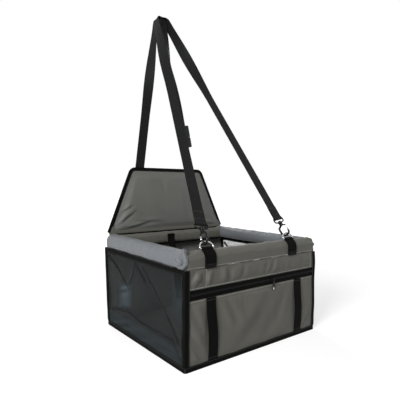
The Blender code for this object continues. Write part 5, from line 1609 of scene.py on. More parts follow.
def rear_loop():
    """The rear strap's route, from the seams on the back of the band."""
    y = BACK_Y + TOUCH + STRAP_THICKNESS / 2
    left = np.array((REAR_LEFT_X, y, REAR_SEAM_HIGH))
    right = np.array((REAR_RIGHT_X, y, REAR_SEAM_HIGH))
    loop = Loop(left, right, (ARCH_X, REAR_ARCH_Y, ARCH_HEIGHT), REAR_ARCH_RADIUS)
    loop.twist(-1, REAR_LEFT_FLAT, 1)
    loop.twist(1, socket_top(loop) + TWIST_CLEARANCE, -1)
    return loop


def buckle_reach(loop):
    """From the right rear strand's fixing up to the buckle's middle."""
    return (BUCKLE_HEIGHT - loop.fixings[1][2]) / loop.up(1)[2]


def socket_top(loop):
    """From the right rear strand's fixing up to where its strap leaves the buckle's socket."""
    return buckle_reach(loop) + SOCKET_LENGTH + BUCKLE_WALL


def wire_drop():
    """How far the ring's wire lies from the bow's middle."""
    return BOW_RADIUS - BOW_WIRE / 2 - RING_WIRE / 2 - WIRE_PLAY


def eye_distance():
    """From the ring's wire up to the bar of the hook's eye."""
    return BOW_CENTRE + wire_drop() + EYE_HEIGHT


def folded_end(bar, up, across, length):
    """A strap's end round an eye's bar: the route of its front layer, its loop and its back layer."""
    square = np.cross(up, across)
    loop = EYE_WIRE / 2 + TOUCH + STRAP_THICKNESS / 2
    half = STRAP_THICKNESS * 0.52
    turn = np.radians(np.linspace(-50, 230, 22))
    ring = bar - loop * np.sin(turn)[:, None] * up + loop * np.cos(turn)[:, None] * square
    legs = np.linspace(0.006, length, 16)[:, None]
    front = bar + legs * up + half * square
    back = bar + legs * up - half * square
    return np.concatenate([front[::-1], ring, back])


class HangingStraps(bpy.types.Operator):
    """Front strap from hook to hook, rear strap down to the buckle, and the short strap below it."""

    bl_idname = "pet_seat.hanging_straps"
    bl_label = "Hanging straps"

    def execute(self, context):
        section = tape_section(STRAP_WIDTH, STRAP_THICKNESS)
        loop = front_loop()
        start = eye_distance()
        left, left_widths = loop.strand(-1, start + SEWN_END * 0.98)
        right, right_widths = loop.strand(1, start + SEWN_END * 0.98)
        over, over_widths = loop.arch()
        route = np.concatenate([left, over, right[::-1]])
        widths = np.concatenate([left_widths, over_widths, right_widths[::-1]])
        patches = [sweep(route, section, widths)]
        for side in (-1, 1):
            bar = loop.fixings[side] + start * loop.up(side)
            ends = even_route(folded_end(bar, loop.up(side), loop.across(side), SEWN_END), 0.0011)
            patches.append(sweep(ends, tape_section(STRAP_WIDTH, STRAP_THICKNESS * 0.98), loop.across(side)))
        sewn("front_hanging_strap", patches, "webbing", "webbing", "front_strap")
        self.rear(section)
        return {"FINISHED"}

    def rear(self, section):
        """Rear strap from its left seam over the support to the buckle, and the short strap below it."""
        loop = rear_loop()
        foot = loop.fixings[1]
        up = loop.up(1)
        length = buckle_reach(loop)
        left, left_widths = loop.strand(-1, REAR_BEND)
        over, over_widths = loop.arch()
        right, right_widths = loop.strand(1, socket_top(loop))
        flat = np.array([(1.0, 0.0, 0.0)] * 6)
        seam = at(REAR_LEFT_X, loop.fixings[-1][1], spread(REAR_SEAM_LOW, REAR_SEAM_HIGH, 6))
        route = np.concatenate([seam, left, over, right[::-1]])
        widths = np.concatenate([flat, left_widths, over_widths, right_widths[::-1]])
        sewn("rear_hanging_strap", [sweep(route, section, widths)], "webbing", "webbing", "rear_strap")
        seam[:, 0] = REAR_RIGHT_X
        reach = spread(REAR_BEND, length - BUCKLE_WALL, 70)
        route = np.concatenate([seam, foot + np.outer(reach, up)])
        widths = np.concatenate([flat, np.repeat([loop.across(1)], 70, axis=0)])
        sewn("rear_lower_strap", [sweep(route, section, widths)], "webbing", "webbing", "rear_strap_lower")
        bevelled_copy("buckle_socket", "buckle_socket_shell", "seat", "black_plastic", BUCKLE_BEVEL)
        bevelled_copy("buckle_plug", "buckle_plug_shell", "plug", "black_plastic", BUCKLE_BEVEL)


# Snap hooks


def place_route(flat, origin, across, up):
    """A route drawn in a plane, stood up at a place: its first number runs across and its second up."""
    return origin + flat[:, :1] * across + flat[:, 1:] * up


def turned(profile, origin, across, up, count=24):
    """A round solid from a profile of radius and height."""
    profile = np.asarray(profile, dtype=float)
    side = np.cross(up, across)
    turn = full_turn(count)
    ring = np.cos(turn)[:, None] * across + np.sin(turn)[:, None] * side
    return closed_tube(origin + profile[:, :1, None] * ring + profile[:, 1:, None] * np.asarray(up))


def rounded_wire(flat, radii, origin, across, up, count=14):
    """A wire of changing radius along a route in a plane, with half-round ends."""
    route = place_route(flat, origin, across, up)
    section = round_section(1.0, count)[None] * np.asarray(radii)[:, None, None]
    return sweep(route, section, np.cross(up, across))


def hook_patches(origin, across, up, turn):
    """The eye with its boss, and the bow with its stem, collar and stub, that run into each other."""
    wide, high, corner = EYE_HALF_WIDTH, EYE_HEIGHT, EYE_WIRE
    right = [(EYE_FOOT - 0.002, -0.0004), (EYE_FOOT, 0.0)]
    right += [(wide - corner / 2, EYE_SHOULDER - corner), (wide, EYE_SHOULDER)]
    top = arc((wide - corner / 2, high - corner / 2), corner / 2, 0, 90, 5)
    right = np.concatenate([smooth_route(right, 6), top])
    flat = np.concatenate([right, right[::-1] * (-1, 1)])
    flat = even_route(np.concatenate([flat, flat[:1]]), 0.0012)[:-1]
    route = place_route(flat, origin, across, up)
    eye = [sweep(route, round_section(EYE_WIRE / 2, 12), np.cross(up, across), closed=True)]
    half = BOSS_HALF_HEIGHT
    soft = 0.0008
    profile = [(BOSS_RADIUS - soft, -half), (BOSS_RADIUS, -half + soft)]
    profile += [(BOSS_RADIUS, half - soft), (BOSS_RADIUS - soft, half)]
    eye.append(turned(profile, origin, across, up))

    plane = math.cos(turn) * across + math.sin(turn) * np.cross(up, across)
    below, above = -half - TOUCH, half + TOUCH
    profile = [
        (STEM_RADIUS * 0.9, below - COLLAR_HEIGHT - BOW_WIRE / 4),
        (BOSS_RADIUS * 0.74, below - COLLAR_HEIGHT),
        (BOSS_RADIUS * 0.95, below - COLLAR_HEIGHT * 0.7),
        (BOSS_RADIUS, below - COLLAR_HEIGHT * 0.45),
        (BOSS_RADIUS * 0.97, below - COLLAR_HEIGHT * 0.15),
        (BOSS_RADIUS * 0.85, below),
        (STEM_RADIUS, below),
        (STEM_RADIUS, above),
        (STEM_HEAD_RADIUS * 0.9, above),
        (STEM_HEAD_RADIUS, above + STEM_HEAD_HEIGHT * 0.35),
        (STEM_HEAD_RADIUS * 0.8, above + STEM_HEAD_HEIGHT * 0.8),
        (STEM_HEAD_RADIUS * 0.4, above + STEM_HEAD_HEIGHT),
    ]
    hook = [turned(profile, origin, plane, up)]
    start = -half - COLLAR_HEIGHT
    knots = [(0.0, start + COLLAR_HEIGHT / 4), (-BOW_RADIUS / 2, start - BOW_NECK_DROP)]
    knots += [(-BOW_RADIUS, -BOW_SHOULDER), (-BOW_RADIUS, -BOW_CENTRE)]
    bend = arc((0, -BOW_CENTRE), BOW_RADIUS, 180, 360, 30)[1:]
    tip = [(BOW_RADIUS, -MOUTH_BOTTOM - 0.0006), (BOW_RADIUS, -MOUTH_BOTTOM)]
    flat = even_route(np.concatenate([smooth_route(knots, 10), bend, tip]), 0.0009)
    share = np.linspace(0, 1, len(flat))
    radii = BOW_WIRE / 2 * (1 - 0.10 * held(share * 4 - 3.2))
    radii[:3] *= (0.86, 0.95, 1.0)
    radii[-3:] *= (0.99, 0.90, 0.68)
    hook.append(rounded_wire(flat, radii, origin, plane, up))
    stub_end = -MOUTH_TOP + 2 * TOUCH + GATE_WIRE / 2
    stub = [(0.0, below - COLLAR_HEIGHT / 2)]
    stub += [(BOW_RADIUS * 0.8, stub_end + STUB_DROP), (BOW_RADIUS, stub_end)]
    stub = even_route(smooth_route(stub, 8), 0.0008)
    radii = np.full(len(stub), GATE_WIRE / 2)
    radii[-2:] *= (0.95, 0.75)
    hook.append(rounded_wire(stub, radii, origin, plane, up))
    return eye, hook, plane


def gate_patch(origin, plane, up):
    """The sprung gate: a slim rod with rounded ends."""
    length = MOUTH_BOTTOM - MOUTH_TOP - TOUCH
    reach = np.array([0.0, 0.0003, 0.0009, 0.0030, 0.0060, length - 0.0009, length - 0.0003, length])
    radii = GATE_WIRE / 2 * np.array([0.55, 0.82, 1.0, 1.0, 1.0, 1.0, 0.82, 0.55])
    flat = at(BOW_RADIUS, -MOUTH_TOP - reach)
    return rounded_wire(flat, radii, origin, plane, up)


class SnapHooks(bpy.types.Operator):
    """Swivel snap hooks: black eye and bow, bright gate."""

    bl_idname = "pet_seat.snap_hooks"
    bl_label = "Snap hooks"

    def execute(self, context):
        loop = front_loop()
        for side, prefix, turn in ((-1, "left", HOOK_TURN_LEFT), (1, "right", HOOK_TURN_RIGHT)):
            self.hook(prefix, loop.fixings[side], loop.up(side), loop.across(side), turn)
        bar = np.array((TETHER_X, TETHER_END_Y, PAD_TOP + TOUCH + BOSS_RADIUS))
        up = np.array((0.0, 1.0, 0.0))
        self.hook("tether", bar - eye_distance() * up, up, np.array((1.0, 0.0, 0.0)), 0.0)
        return {"FINISHED"}

    def hook(self, prefix, wire_point, up, across, turn):
        """One hook, hung from a wire, with its bow turned round its stem."""
        origin = wire_point + (BOW_CENTRE + wire_drop()) * up
        eye, bow, plane = hook_patches(origin, across, up, turn)
        gate = [gate_patch(origin, plane, up)]
        for name, patches, body, finish_name, slot, node in (
            ("swivel_eye", eye, "seat", "black_metal", "black_metal", "eye"),
            ("snap_bow", bow, f"{prefix}_snap", "black_metal", "black_metal", "hook"),
            ("sprung_gate", gate, f"{prefix}_snap_gate", "nickel", "chrome", "gate"),
        ):
            piece(f"{prefix}_{name}", patches, body, finish_name, [f"{prefix}_{node}"], sharp=60)


# Flap


def flap_edge(inset, steps=8):
    """The flap's free edge, drawn in by an inset: up the right side, round its corner, and down the left."""
    tilt = math.atan2(FLAP_BOTTOM_HALF - FLAP_TOP_HALF, FLAP_LENGTH)
    centre_y = FLAP_LENGTH - FLAP_CORNER
    centre_x = FLAP_BOTTOM_HALF - centre_y * math.tan(tilt) - FLAP_CORNER / math.cos(tilt)
    foot = (FLAP_BOTTOM_HALF - inset / math.cos(tilt), 0.0)
    corner = arc((centre_x, centre_y), FLAP_CORNER - inset, math.degrees(tilt), 90, steps)
    right = np.concatenate([[foot], corner])
    return np.concatenate([right, right[::-1] * (-1, 1)])


def flap_outline():
    """The right half of the cloth's edge under its tape, and half of the edge's thickness."""
    edge = flap_edge(FLAP_BINDING_WIDTH - 0.004)
    return edge[: len(edge) // 2], FLAP_EDGE / 2


def on_hinge(points):
    """Points of the upright flap, leaned and moved to its hinge."""
    c, s = math.cos(FLAP_LEAN), math.sin(FLAP_LEAN)
    y = points[..., 1] * c + points[..., 2] * s
    z = points[..., 2] * c - points[..., 1] * s
    return at(points[..., 0], HINGE_Y + y, HINGE_Z + z)


CLOTH_FRAMES = 20
FLAP_HEM_HEIGHT = 0.022
# Folds of the flap: a line's two ends, a share of the wrinkles' depth, and a width
FLAP_FOLDS = (
    (((-0.183, 0.012), (-0.110, 0.062)), 1.0, 0.0070),
    (((-0.170, 0.048), (-0.120, 0.075)), 0.8, 0.0050),
    (((-0.165, 0.006), (-0.060, 0.028)), 1.0, 0.0060),
    (((-0.120, 0.030), (-0.020, 0.026)), 0.6, 0.0070),
    (((0.170, 0.010), (0.090, 0.030)), 0.6, 0.0080),
    (((-0.020, 0.150), (-0.012, 0.110)), 0.5, 0.0100),
    (((0.060, 0.020), (0.040, 0.120)), 0.5, 0.0140),
)


def puffed(made, voxel, cap, pressure=4.0):
    """Swells a closed mesh as stuffed cloth: remeshed, blown up by a simulation, and held within a cap."""
    bpy.context.view_layer.objects.active = made
    made.select_set(True)
    remesh = made.modifiers.new("Even mesh", "REMESH")
    remesh.mode = "VOXEL"
    remesh.voxel_size = voxel
    bpy.ops.object.modifier_apply(modifier=remesh.name)
    before = read_points(made)
    cloth = made.modifiers.new("Stuffed cloth", "CLOTH")
    cloth.settings.use_pressure = True
    cloth.settings.uniform_pressure_force = pressure
    cloth.settings.effector_weights.gravity = 0.0
    cloth.point_cache.frame_start = 1
    cloth.point_cache.frame_end = CLOTH_FRAMES
    scene = bpy.context.scene
    for number in range(1, CLOTH_FRAMES + 1):
        scene.frame_set(number)
    bpy.ops.object.modifier_apply(modifier=cloth.name)
    scene.frame_set(1)
    move = read_points(made) - before
    far = np.linalg.norm(move, axis=1, keepdims=True)
    move *= np.minimum(1.0, cap / np.maximum(far, 1e-9))
    made.select_set(False)
    return before, move


def refined(made, levels=1):
    """Applies one more subdivision, so that seams and wrinkles have points to move."""
    bpy.context.view_layer.objects.active = made
    finer = made.modifiers.new("Finer", "SUBSURF")
    finer.levels = levels
    finer.render_levels = levels
    bpy.ops.object.modifier_apply(modifier=finer.name)
    return read_points(made).astype(float)


def put_points(made, points):
    """Moves an object's points and shades it smooth."""
    made.data.vertices.foreach_set("co", np.asarray(points, np.float32).ravel())
    made.data.update()
    made.data.shade_smooth()


class Flap(bpy.types.Operator):
    """Padded flap: cloth swelled by simulation between its edges, wrinkled, with a folded tape round it."""

    bl_idname = "pet_seat.flap"
    bl_label = "Flap"

    def execute(self, context):
        self.pad(context.scene.seat_sizes.flap_wrinkle)
        self.hem()
        self.tape()
        return {"FINISHED"}

    def pad(self, wrinkle):
        """Cushion between the tapes: faces that bulge by a sine up the flap and a curve across it."""
        right, bead = flap_outline()
        foot = -bead * np.cos(np.radians([10, 35, 60]))
        heights = np.concatenate([foot, np.linspace(0.0, right[-1, 1], 70)])
        halves = np.interp(heights, right[:, 1], right[:, 0])
        across = np.linspace(-1, 1, 110)
        share = held(heights / right[-1, 1])
        crown = np.sin(math.pi * share)[:, None] * (1 - across[None, :] ** 2) ** 0.6
        rounding = np.sqrt(np.clip(1 - np.minimum(heights, 0) ** 2 / bead**2, 0.02, 1))[:, None]
        x = halves[:, None] * across[None, :]
        z = np.repeat(heights[:, None], len(across), axis=1)
        front = at(x, -bead * rounding - 0.0040 * crown, z)
        back = at(x, bead * rounding + 0.0010 * crown, z)
        made = plain_object("flap_cushion", [slab(front, back)])
        start, move = puffed(made, 0.004, 0.0045)
        put_points(made, start + move * self.hold(start)[:, None])
        put_points(made, on_hinge(self.wrinkled(refined(made), wrinkle)))
        made.data.set_sharp_from_angle(angle=math.radians(180))
        dress(made, "flap", "flap", ["flap_pad"])

    def hem(self):
        """The flap's foot, sewn flat: the flap's own outline, thickest at the hinge, thinner by a square."""
        right, bead = flap_outline()
        foot = -bead * np.cos(np.radians([4, 25, 45, 65]))
        heights = np.concatenate([foot, spread(0, FLAP_HEM_HEIGHT, 12)])
        x = np.interp(heights, right[:, 1], right[:, 0])[:, None] * spread(-1, 1, 170)
        z = np.repeat(heights[:, None], 170, axis=1)
        rounding = np.sqrt(np.clip(1 - (np.minimum(z, 0) / bead) ** 2, 0.004, 1))
        thick = (0.0036 - 0.0016 * (np.maximum(z, 0) / FLAP_HEM_HEIGHT) ** 2) * rounding
        puckers = 0.0004 * ripple(x, 0.03, 84) * np.sin(math.pi * held(z / FLAP_HEM_HEIGHT))
        front = at(x, -thick - puckers, z)
        back = at(x, thick, z)
        points, quads, uv = slab(front, back)
        piece("flap_hem", [(on_hinge(points), quads, uv)], "flap", "oxford", sharp=60)

    def hold(self, points):
        """How freely a point may swell: not at all at the taped edges and the hinge, fully 20 mm inside."""
        x, z = np.abs(points[:, 0]), points[:, 2]
        tilt = math.atan2(FLAP_BOTTOM_HALF - FLAP_TOP_HALF, FLAP_LENGTH)
        side = (FLAP_BOTTOM_HALF - z * math.tan(tilt) - x) * math.cos(tilt)
        inside = np.minimum(np.minimum(side, FLAP_LENGTH - z) - FLAP_BINDING_WIDTH, z)
        return soft_step(inside / 0.020)

    def wrinkled(self, points, depth):
        """Short soft folds from the lower left and faint broad channels, pushed in along the flap's face."""
        x, z = points[:, 0], points[:, 2]
        folds = [(line, depth * share, width) for line, share, width in FLAP_FOLDS]
        push = folded(np.zeros(len(points)), x, z, folds)
        push = push + 0.0007 * ripple(x + 0.15 * z, 0.075, 81) + 0.0004 * ripple(z + 0.3 * x, 0.045, 82)
        free = self.hold(points)
        moved = points.copy()
        moved[:, 1] += push * free * np.where(points[:, 1] < 0, 1.0, 0.4)
        return moved

    def tape(self):
        """A tape folded over the edge: two faces and a round back, carried along the edge."""
        edge = flap_edge(FLAP_BINDING_WIDTH / 2, 16)
        foot = edge[0].copy()
        rise = (0, FLAP_EDGE / 2 + TOUCH)
        flat = even_route(np.concatenate([[foot + rise], edge[1:-1], [foot * (-1, 1) + rise]]), 0.003)
        route = at(flat[:, 0], 0.0, flat[:, 1])
        half, rise = FLAP_BINDING_WIDTH / 2, FLAP_BINDING_THICKNESS / 2
        turn = np.radians(np.linspace(-90, 90, 9))
        back = at(half - rise * 0.6 + rise * 0.6 * np.cos(turn), rise * np.sin(turn))
        face = at(np.linspace(half - rise * 0.6, -half, 5)[1:], rise)
        section = np.concatenate([back, face, face[::-1] * (1, -1)])
        along = unit(np.gradient(route, axis=0))
        across = np.cross(along, (0.0, 1.0, 0.0))
        out = np.sum(across * (route - (0, 0, 0.06)), axis=1, keepdims=True)
        across = across * np.sign(np.median(out))
        wobble = 1 + 0.03 * ripple(np.arange(len(route)) * 0.003, 0.05, 83)
        sections = section[None] * at(np.ones(len(route)), wobble)[:, None, :]
        points, quads, uv = sweep(route, sections, across)
        piece("flap_tape", [(on_hinge(points), quads, uv)], "flap", "tape", ["flap_binding"])


# Floor pad and tether


# The floor pad's rings, as shares of its reach: up its side with a rise each, and over its crown
PAD_SIDES = (
    (0.30, 0.0),
    (0.70, 0.0),
    (0.95, 0.0),
    (0.978, 0.0035),
    (0.985, 0.0070),
    (0.978, 0.0110),
    (0.955, 0.0140),
)
PAD_TOP_SHARES = (0.88, 0.76, 0.60, 0.44, 0.28, 0.12)
PAD_CROWN = 0.0065


class FloorPad(bpy.types.Operator):
    """Loose floor pad: a crowned cushion, swelled by simulation and creased along its rim."""

    bl_idname = "pet_seat.floor_pad"
    bl_label = "Floor pad"

    def execute(self, context):
        low, high = low_high("floor_pad")
        centre_y = (low[1] + high[1]) / 2
        turn = full_turn(120)
        across = np.sign(np.cos(turn)) * np.abs(np.cos(turn)) ** 0.35
        along = np.sign(np.sin(turn)) * np.abs(np.sin(turn)) ** 0.35
        drawn = 1 - 0.018 * np.cos(2 * turn) ** 2
        reach_x, reach_y = high[0] * across * drawn, (high[1] - low[1]) / 2 * along * drawn
        levels = [(share, PAD_BOTTOM + rise) for share, rise in PAD_SIDES]
        for share in PAD_TOP_SHARES:
            crown = PAD_CROWN * (1 - (share / PAD_SIDES[-1][0]) ** 2.6)
            levels.append((share, PAD_BOTTOM + PAD_SIDES[-1][1] + crown))
        rings = [at(share * reach_x, centre_y + share * reach_y, height) for share, height in levels]
        made = plain_object("floor_cushion", [closed_tube(rings)])
        start, move = puffed(made, 0.006, 0.004)
        moved = start + move
        moved[:, 2] = np.clip(moved[:, 2], PAD_BOTTOM, None)
        put_points(made, moved)
        points = refined(made)
        up = held((points[:, 2] - 0.012) / 0.006)
        x, y = points[:, 0], points[:, 1]
        edge = np.maximum(np.abs(x) / high[0], np.abs(y - centre_y) / (high[1] - centre_y))
        edge = held(edge) ** 6
        crush = 0.0022 * ripple(x + 0.5 * y, 0.045, 91) * edge + 0.0008 * ripple(y - 0.4 * x, 0.08, 92)
        points[:, 2] += crush * up
        points[:, 2] = np.clip(points[:, 2], PAD_BOTTOM, PAD_TOP - 0.0003)
        put_points(made, points)
        dress(made, "seat", "pad", ["floor_pad"])
        return {"FINISHED"}


class Tether(bpy.types.Operator):
    """Inner tether: webbing from the band down to the pad, folded round its hook's eye."""

    bl_idname = "pet_seat.tether"
    bl_label = "Tether"

    def execute(self, context):
        lie = PAD_TOP + TOUCH + BOSS_RADIUS
        face = BAND_Y - ROLL_RADIUS - TOUCH - STRAP_THICKNESS / 2
        seam_foot = TETHER_TOP - TETHER_SEWN
        drop = seam_foot - lie
        knots = [(face, TETHER_TOP), (face, seam_foot)]
        for run, fall in TETHER_HANG_SHARES:
            knots.append((face - run * (face - TETHER_KNEE_Y), seam_foot - fall * drop))
        flat_run = TETHER_KNEE_Y - TETHER_END_Y
        knots += [(TETHER_KNEE_Y - run * flat_run, lie + rise * drop) for run, rise in TETHER_LIE_SHARES]
        knots.append((TETHER_END_Y + 0.006, lie))
        flat = smooth_route(knots, 12)
        flat[:, 0] = np.minimum(flat[:, 0], face)
        route = np.insert(even_route(flat, 0.002), 0, TETHER_X, axis=1)
        across = np.array((1.0, 0.0, 0.0))
        up = np.array((0.0, 1.0, 0.0))
        bar = np.array((TETHER_X, TETHER_END_Y, lie))
        ends = even_route(folded_end(bar, up, across, 0.020), 0.0011)
        hanging = sweep(route, tape_section(TETHER_WIDTH, STRAP_THICKNESS), across)
        end = sweep(ends, tape_section(TETHER_WIDTH, STRAP_THICKNESS * 0.9), across)
        sewn("tether_strap", [hanging, end], "tape", "webbing", "tether_web")
        return {"FINISHED"}


# Stitching

FORWARD = (0, -1, 0)


def line(start, end, normal):
    """A straight seam with its outward direction."""
    route = np.linspace(start, end, 60)
    return route, np.broadcast_to(np.asarray(normal, dtype=float), route.shape)


def level_line(start_x, end_x, y, z):
    """A level seam that faces forward."""
    return line((start_x, y, z), (end_x, y, z), FORWARD)


def box_seam(centre, across, up, half_wide, half_high, normal):
    """A sewn box with its crossed diagonals."""
    signs = ((-1, -1), (1, -1), (1, 1), (-1, 1))
    corners = [centre + a * half_wide * across + b * half_high * up for a, b in signs]
    pairs = [(0, 1), (1, 2), (2, 3), (3, 0), (0, 2), (1, 3)]
    return [line(corners[a], corners[b], normal) for a, b in pairs]


class Stitching(bpy.types.Operator):
    """Rows of stitches: light thread on the grey cloth, dark thread on tape and webbing."""

    bl_idname = "pet_seat.stitching"
    bl_label = "Stitching"

    def execute(self, context):
        threads("light_stitches", self.face_seams(), "seat", "light_thread")
        dark = self.tape_seams() + self.web_seams() + self.strap_seams()
        threads("dark_stitches", dark, "seat", "dark_thread")
        threads("flap_stitches", self.flap_seam(), "flap", "dark_thread")
        return {"FINISHED"}

    def face_seams(self):
        """Seams on the grey front: over and under the zip, at the rim, and up the header."""
        face = FRONT_Y - 0.0003
        inner = HALF_WIDTH - 0.012
        gap = 0.014
        web = POCKET_WEB_X
        stops = (-inner, -web - gap, -web + gap, web - gap, web + gap, inner)
        found = [level_line(-inner, inner, face, HEADER_LOW[2] + 0.0026)]
        found += [level_line(*ends, face, POCKET_HIGH[2] - 0.0026) for ends in zip(stops[::2], stops[1::2])]
        found.append(level_line(-inner, inner, face, WALL_HEIGHT + 0.0030))
        for x in UPRIGHT_STITCHES:
            found.append(line((x, face, HEADER_LOW[2] + 0.004), (x, face, WALL_TOP - 0.003), FORWARD))
        return found

    def tape_seams(self):
        """Seams on the bindings: at the front corners, under the side rolls, and round the base."""
        found = []
        inset = 0.0016
        foot, top, base = 0.014, WALL_TOP - 0.003, 0.0092
        front = FRONT_Y - TOUCH - BINDING_TAPE
        for side, hand in ((-1, "left"), (1, "right")):
            low, high = low_high(f"{hand}_rim_binding")
            outward = (side, 0, 0)
            edge = side * (HALF_WIDTH + TOUCH + BINDING_TAPE)
            x = side * (HALF_WIDTH + TOUCH + BINDING_TAPE - BINDING_WIDTH + inset)
            y = front + BINDING_WIDTH - inset
            rim = low[2] + 0.0018
            found.append(line((x, front, foot), (x, front, top), FORWARD))
            found.append(line((edge, y, foot), (edge, y, top), outward))
            found.append(line((edge, low[1] + 0.002, rim), (edge, high[1] - 0.004, rim), outward))
            found.append(line((edge, FRONT_Y + 0.004, base), (edge, 0.158, base), outward))
        found.append(level_line(-0.196, 0.196, front, base))
        return found

    def web_seams(self):
        """Seams at the ends of the pocket's straps and at the feet of the ring tabs."""
        found = []
        for side, _, lean in POCKET_WEBS:
            for share in (0.035, 0.965):
                height = BINDING_WIDTH + share * (float(POCKET_HIGH[2]) - BINDING_WIDTH)
                x = side * POCKET_WEB_X + lean * (2 * share - 1)
                y = FRONT_Y - TOUCH - STRAP_THICKNESS - POCKET_WEB_BOW * math.sin(math.pi * share) ** 2
                found.append(level_line(x - 0.010, x + 0.010, y, height))
        for x in (TAB_LEFT_X, TAB_RIGHT_X):
            y = ROLL_Y - ROLL_RADIUS - TOUCH - TAB_THICKNESS
            for height in (WALL_HEIGHT + 0.003, WALL_HEIGHT + 0.007):
                found.append(level_line(x - 0.012, x + 0.012, y, height))
        return found

    def strap_seams(self):
        """Rows across the sewn ends, and boxes with crosses where the rear strap is sewn on."""
        loop = front_loop()
        rear = rear_loop()
        found = []
        for side in (-1, 1):
            up, across = loop.up(side), loop.across(side)
            square = np.cross(up, across)
            for way in (-1, 1):
                for share in (0.36, 0.84, 0.92):
                    middle = loop.fixings[side] + (eye_distance() + SEWN_END * share) * up
                    middle = middle + way * square * STRAP_THICKNESS * 1.03
                    found.append(line(middle - 0.012 * across, middle + 0.012 * across, way * square))
        for x in (REAR_LEFT_X, REAR_RIGHT_X):
            y = BACK_Y + TOUCH + STRAP_THICKNESS
            middle = np.array((x, y, (REAR_SEAM_LOW + REAR_SEAM_HIGH) / 2))
            found += box_seam(middle, np.array((1.0, 0, 0)), np.array((0, 0, 1.0)), 0.0105, 0.0080, (0, 1, 0))
        up, across = rear.up(1), rear.across(1)
        length = buckle_reach(rear) - 2.5 * MALE_LENGTH
        square = np.cross(up, across)
        for way in (-1, 1):
            middle = rear.fixings[1] + length * up + way * square * STRAP_THICKNESS / 2
            found.append(line(middle - 0.011 * across, middle + 0.011 * across, way * square))
        return found

    def flap_seam(self):
        """A row along the tape on each face of the flap."""
        edge = flap_edge(FLAP_BINDING_WIDTH - 0.0018, 16)
        found = []
        for way in (-1, 1):
            y = way * FLAP_BINDING_THICKNESS / 2
            flat = at(edge[1:-1, 0], y, edge[1:-1, 1])
            foot = np.array([(edge[0, 0] - 0.003, y, 0.006)])
            route = even_route(np.concatenate([foot, flat, foot * (-1, 1, 1)]), 0.003)
            normal = np.array((0.0, way * math.cos(FLAP_LEAN), -way * math.sin(FLAP_LEAN)))
            found.append((on_hinge(route), np.broadcast_to(normal, route.shape)))
        return found


# Rigid nodes that keep their shape


class RigidNodes(bpy.types.Operator):
    """Gives the base board, the rim tubes and their elbows their finish."""

    bl_idname = "pet_seat.rigid_nodes"
    bl_label = "Board and frame"

    def execute(self, context):
        for name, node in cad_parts.items():
            if name.endswith(("_tube", "_elbow")):
                self.refinish(node, "frame_plastic")
            elif name == "base_board":
                self.refinish(node, "board")
        return {"FINISHED"}

    def refinish(self, node, name):
        """Puts a finish in each of a node's slots."""
        if not node.material_slots:
            node.data.materials.append(None)
        for place in node.material_slots:
            place.material = finish(name)


# Stage

FLOOR_HEIGHT = -0.0002
# How much the floor glows for the camera: near the seat, far from it, and where the change starts and ends
GLOW_NEAR, GLOW_FAR = 0.62, 1.02
GLOW_START, GLOW_END = 0.30, 2.60
WORLD_LEVEL = 0.14
CAMERA_SENSOR = 36.0
# Each lamp's name, place, target, size and power
LAMPS = (
    ("Key lamp", (-1.9, -0.9, 1.2), (0.0, 0.0, 0.15), 0.7, 62.0),
    ("Fill lamp", (1.3, -1.2, 1.1), (0.0, 0.0, 0.20), 1.0, 5.0),
    ("Back lamp", (0.7, 2.1, 1.3), (0.0, 0.0, 0.20), 1.0, 18.0),
)


def seen_rays(nodes):
    """1 for rays from the camera, also by way of a mirror or glass, and 0 for rays that light the seat."""
    path = nodes.add("ShaderNodeLightPath").outputs
    mirrored = nodes.sum("MAXIMUM", path["Is Glossy Ray"], path["Is Transmission Ray"])
    return nodes.sum("MAXIMUM", path["Is Camera Ray"], mirrored)


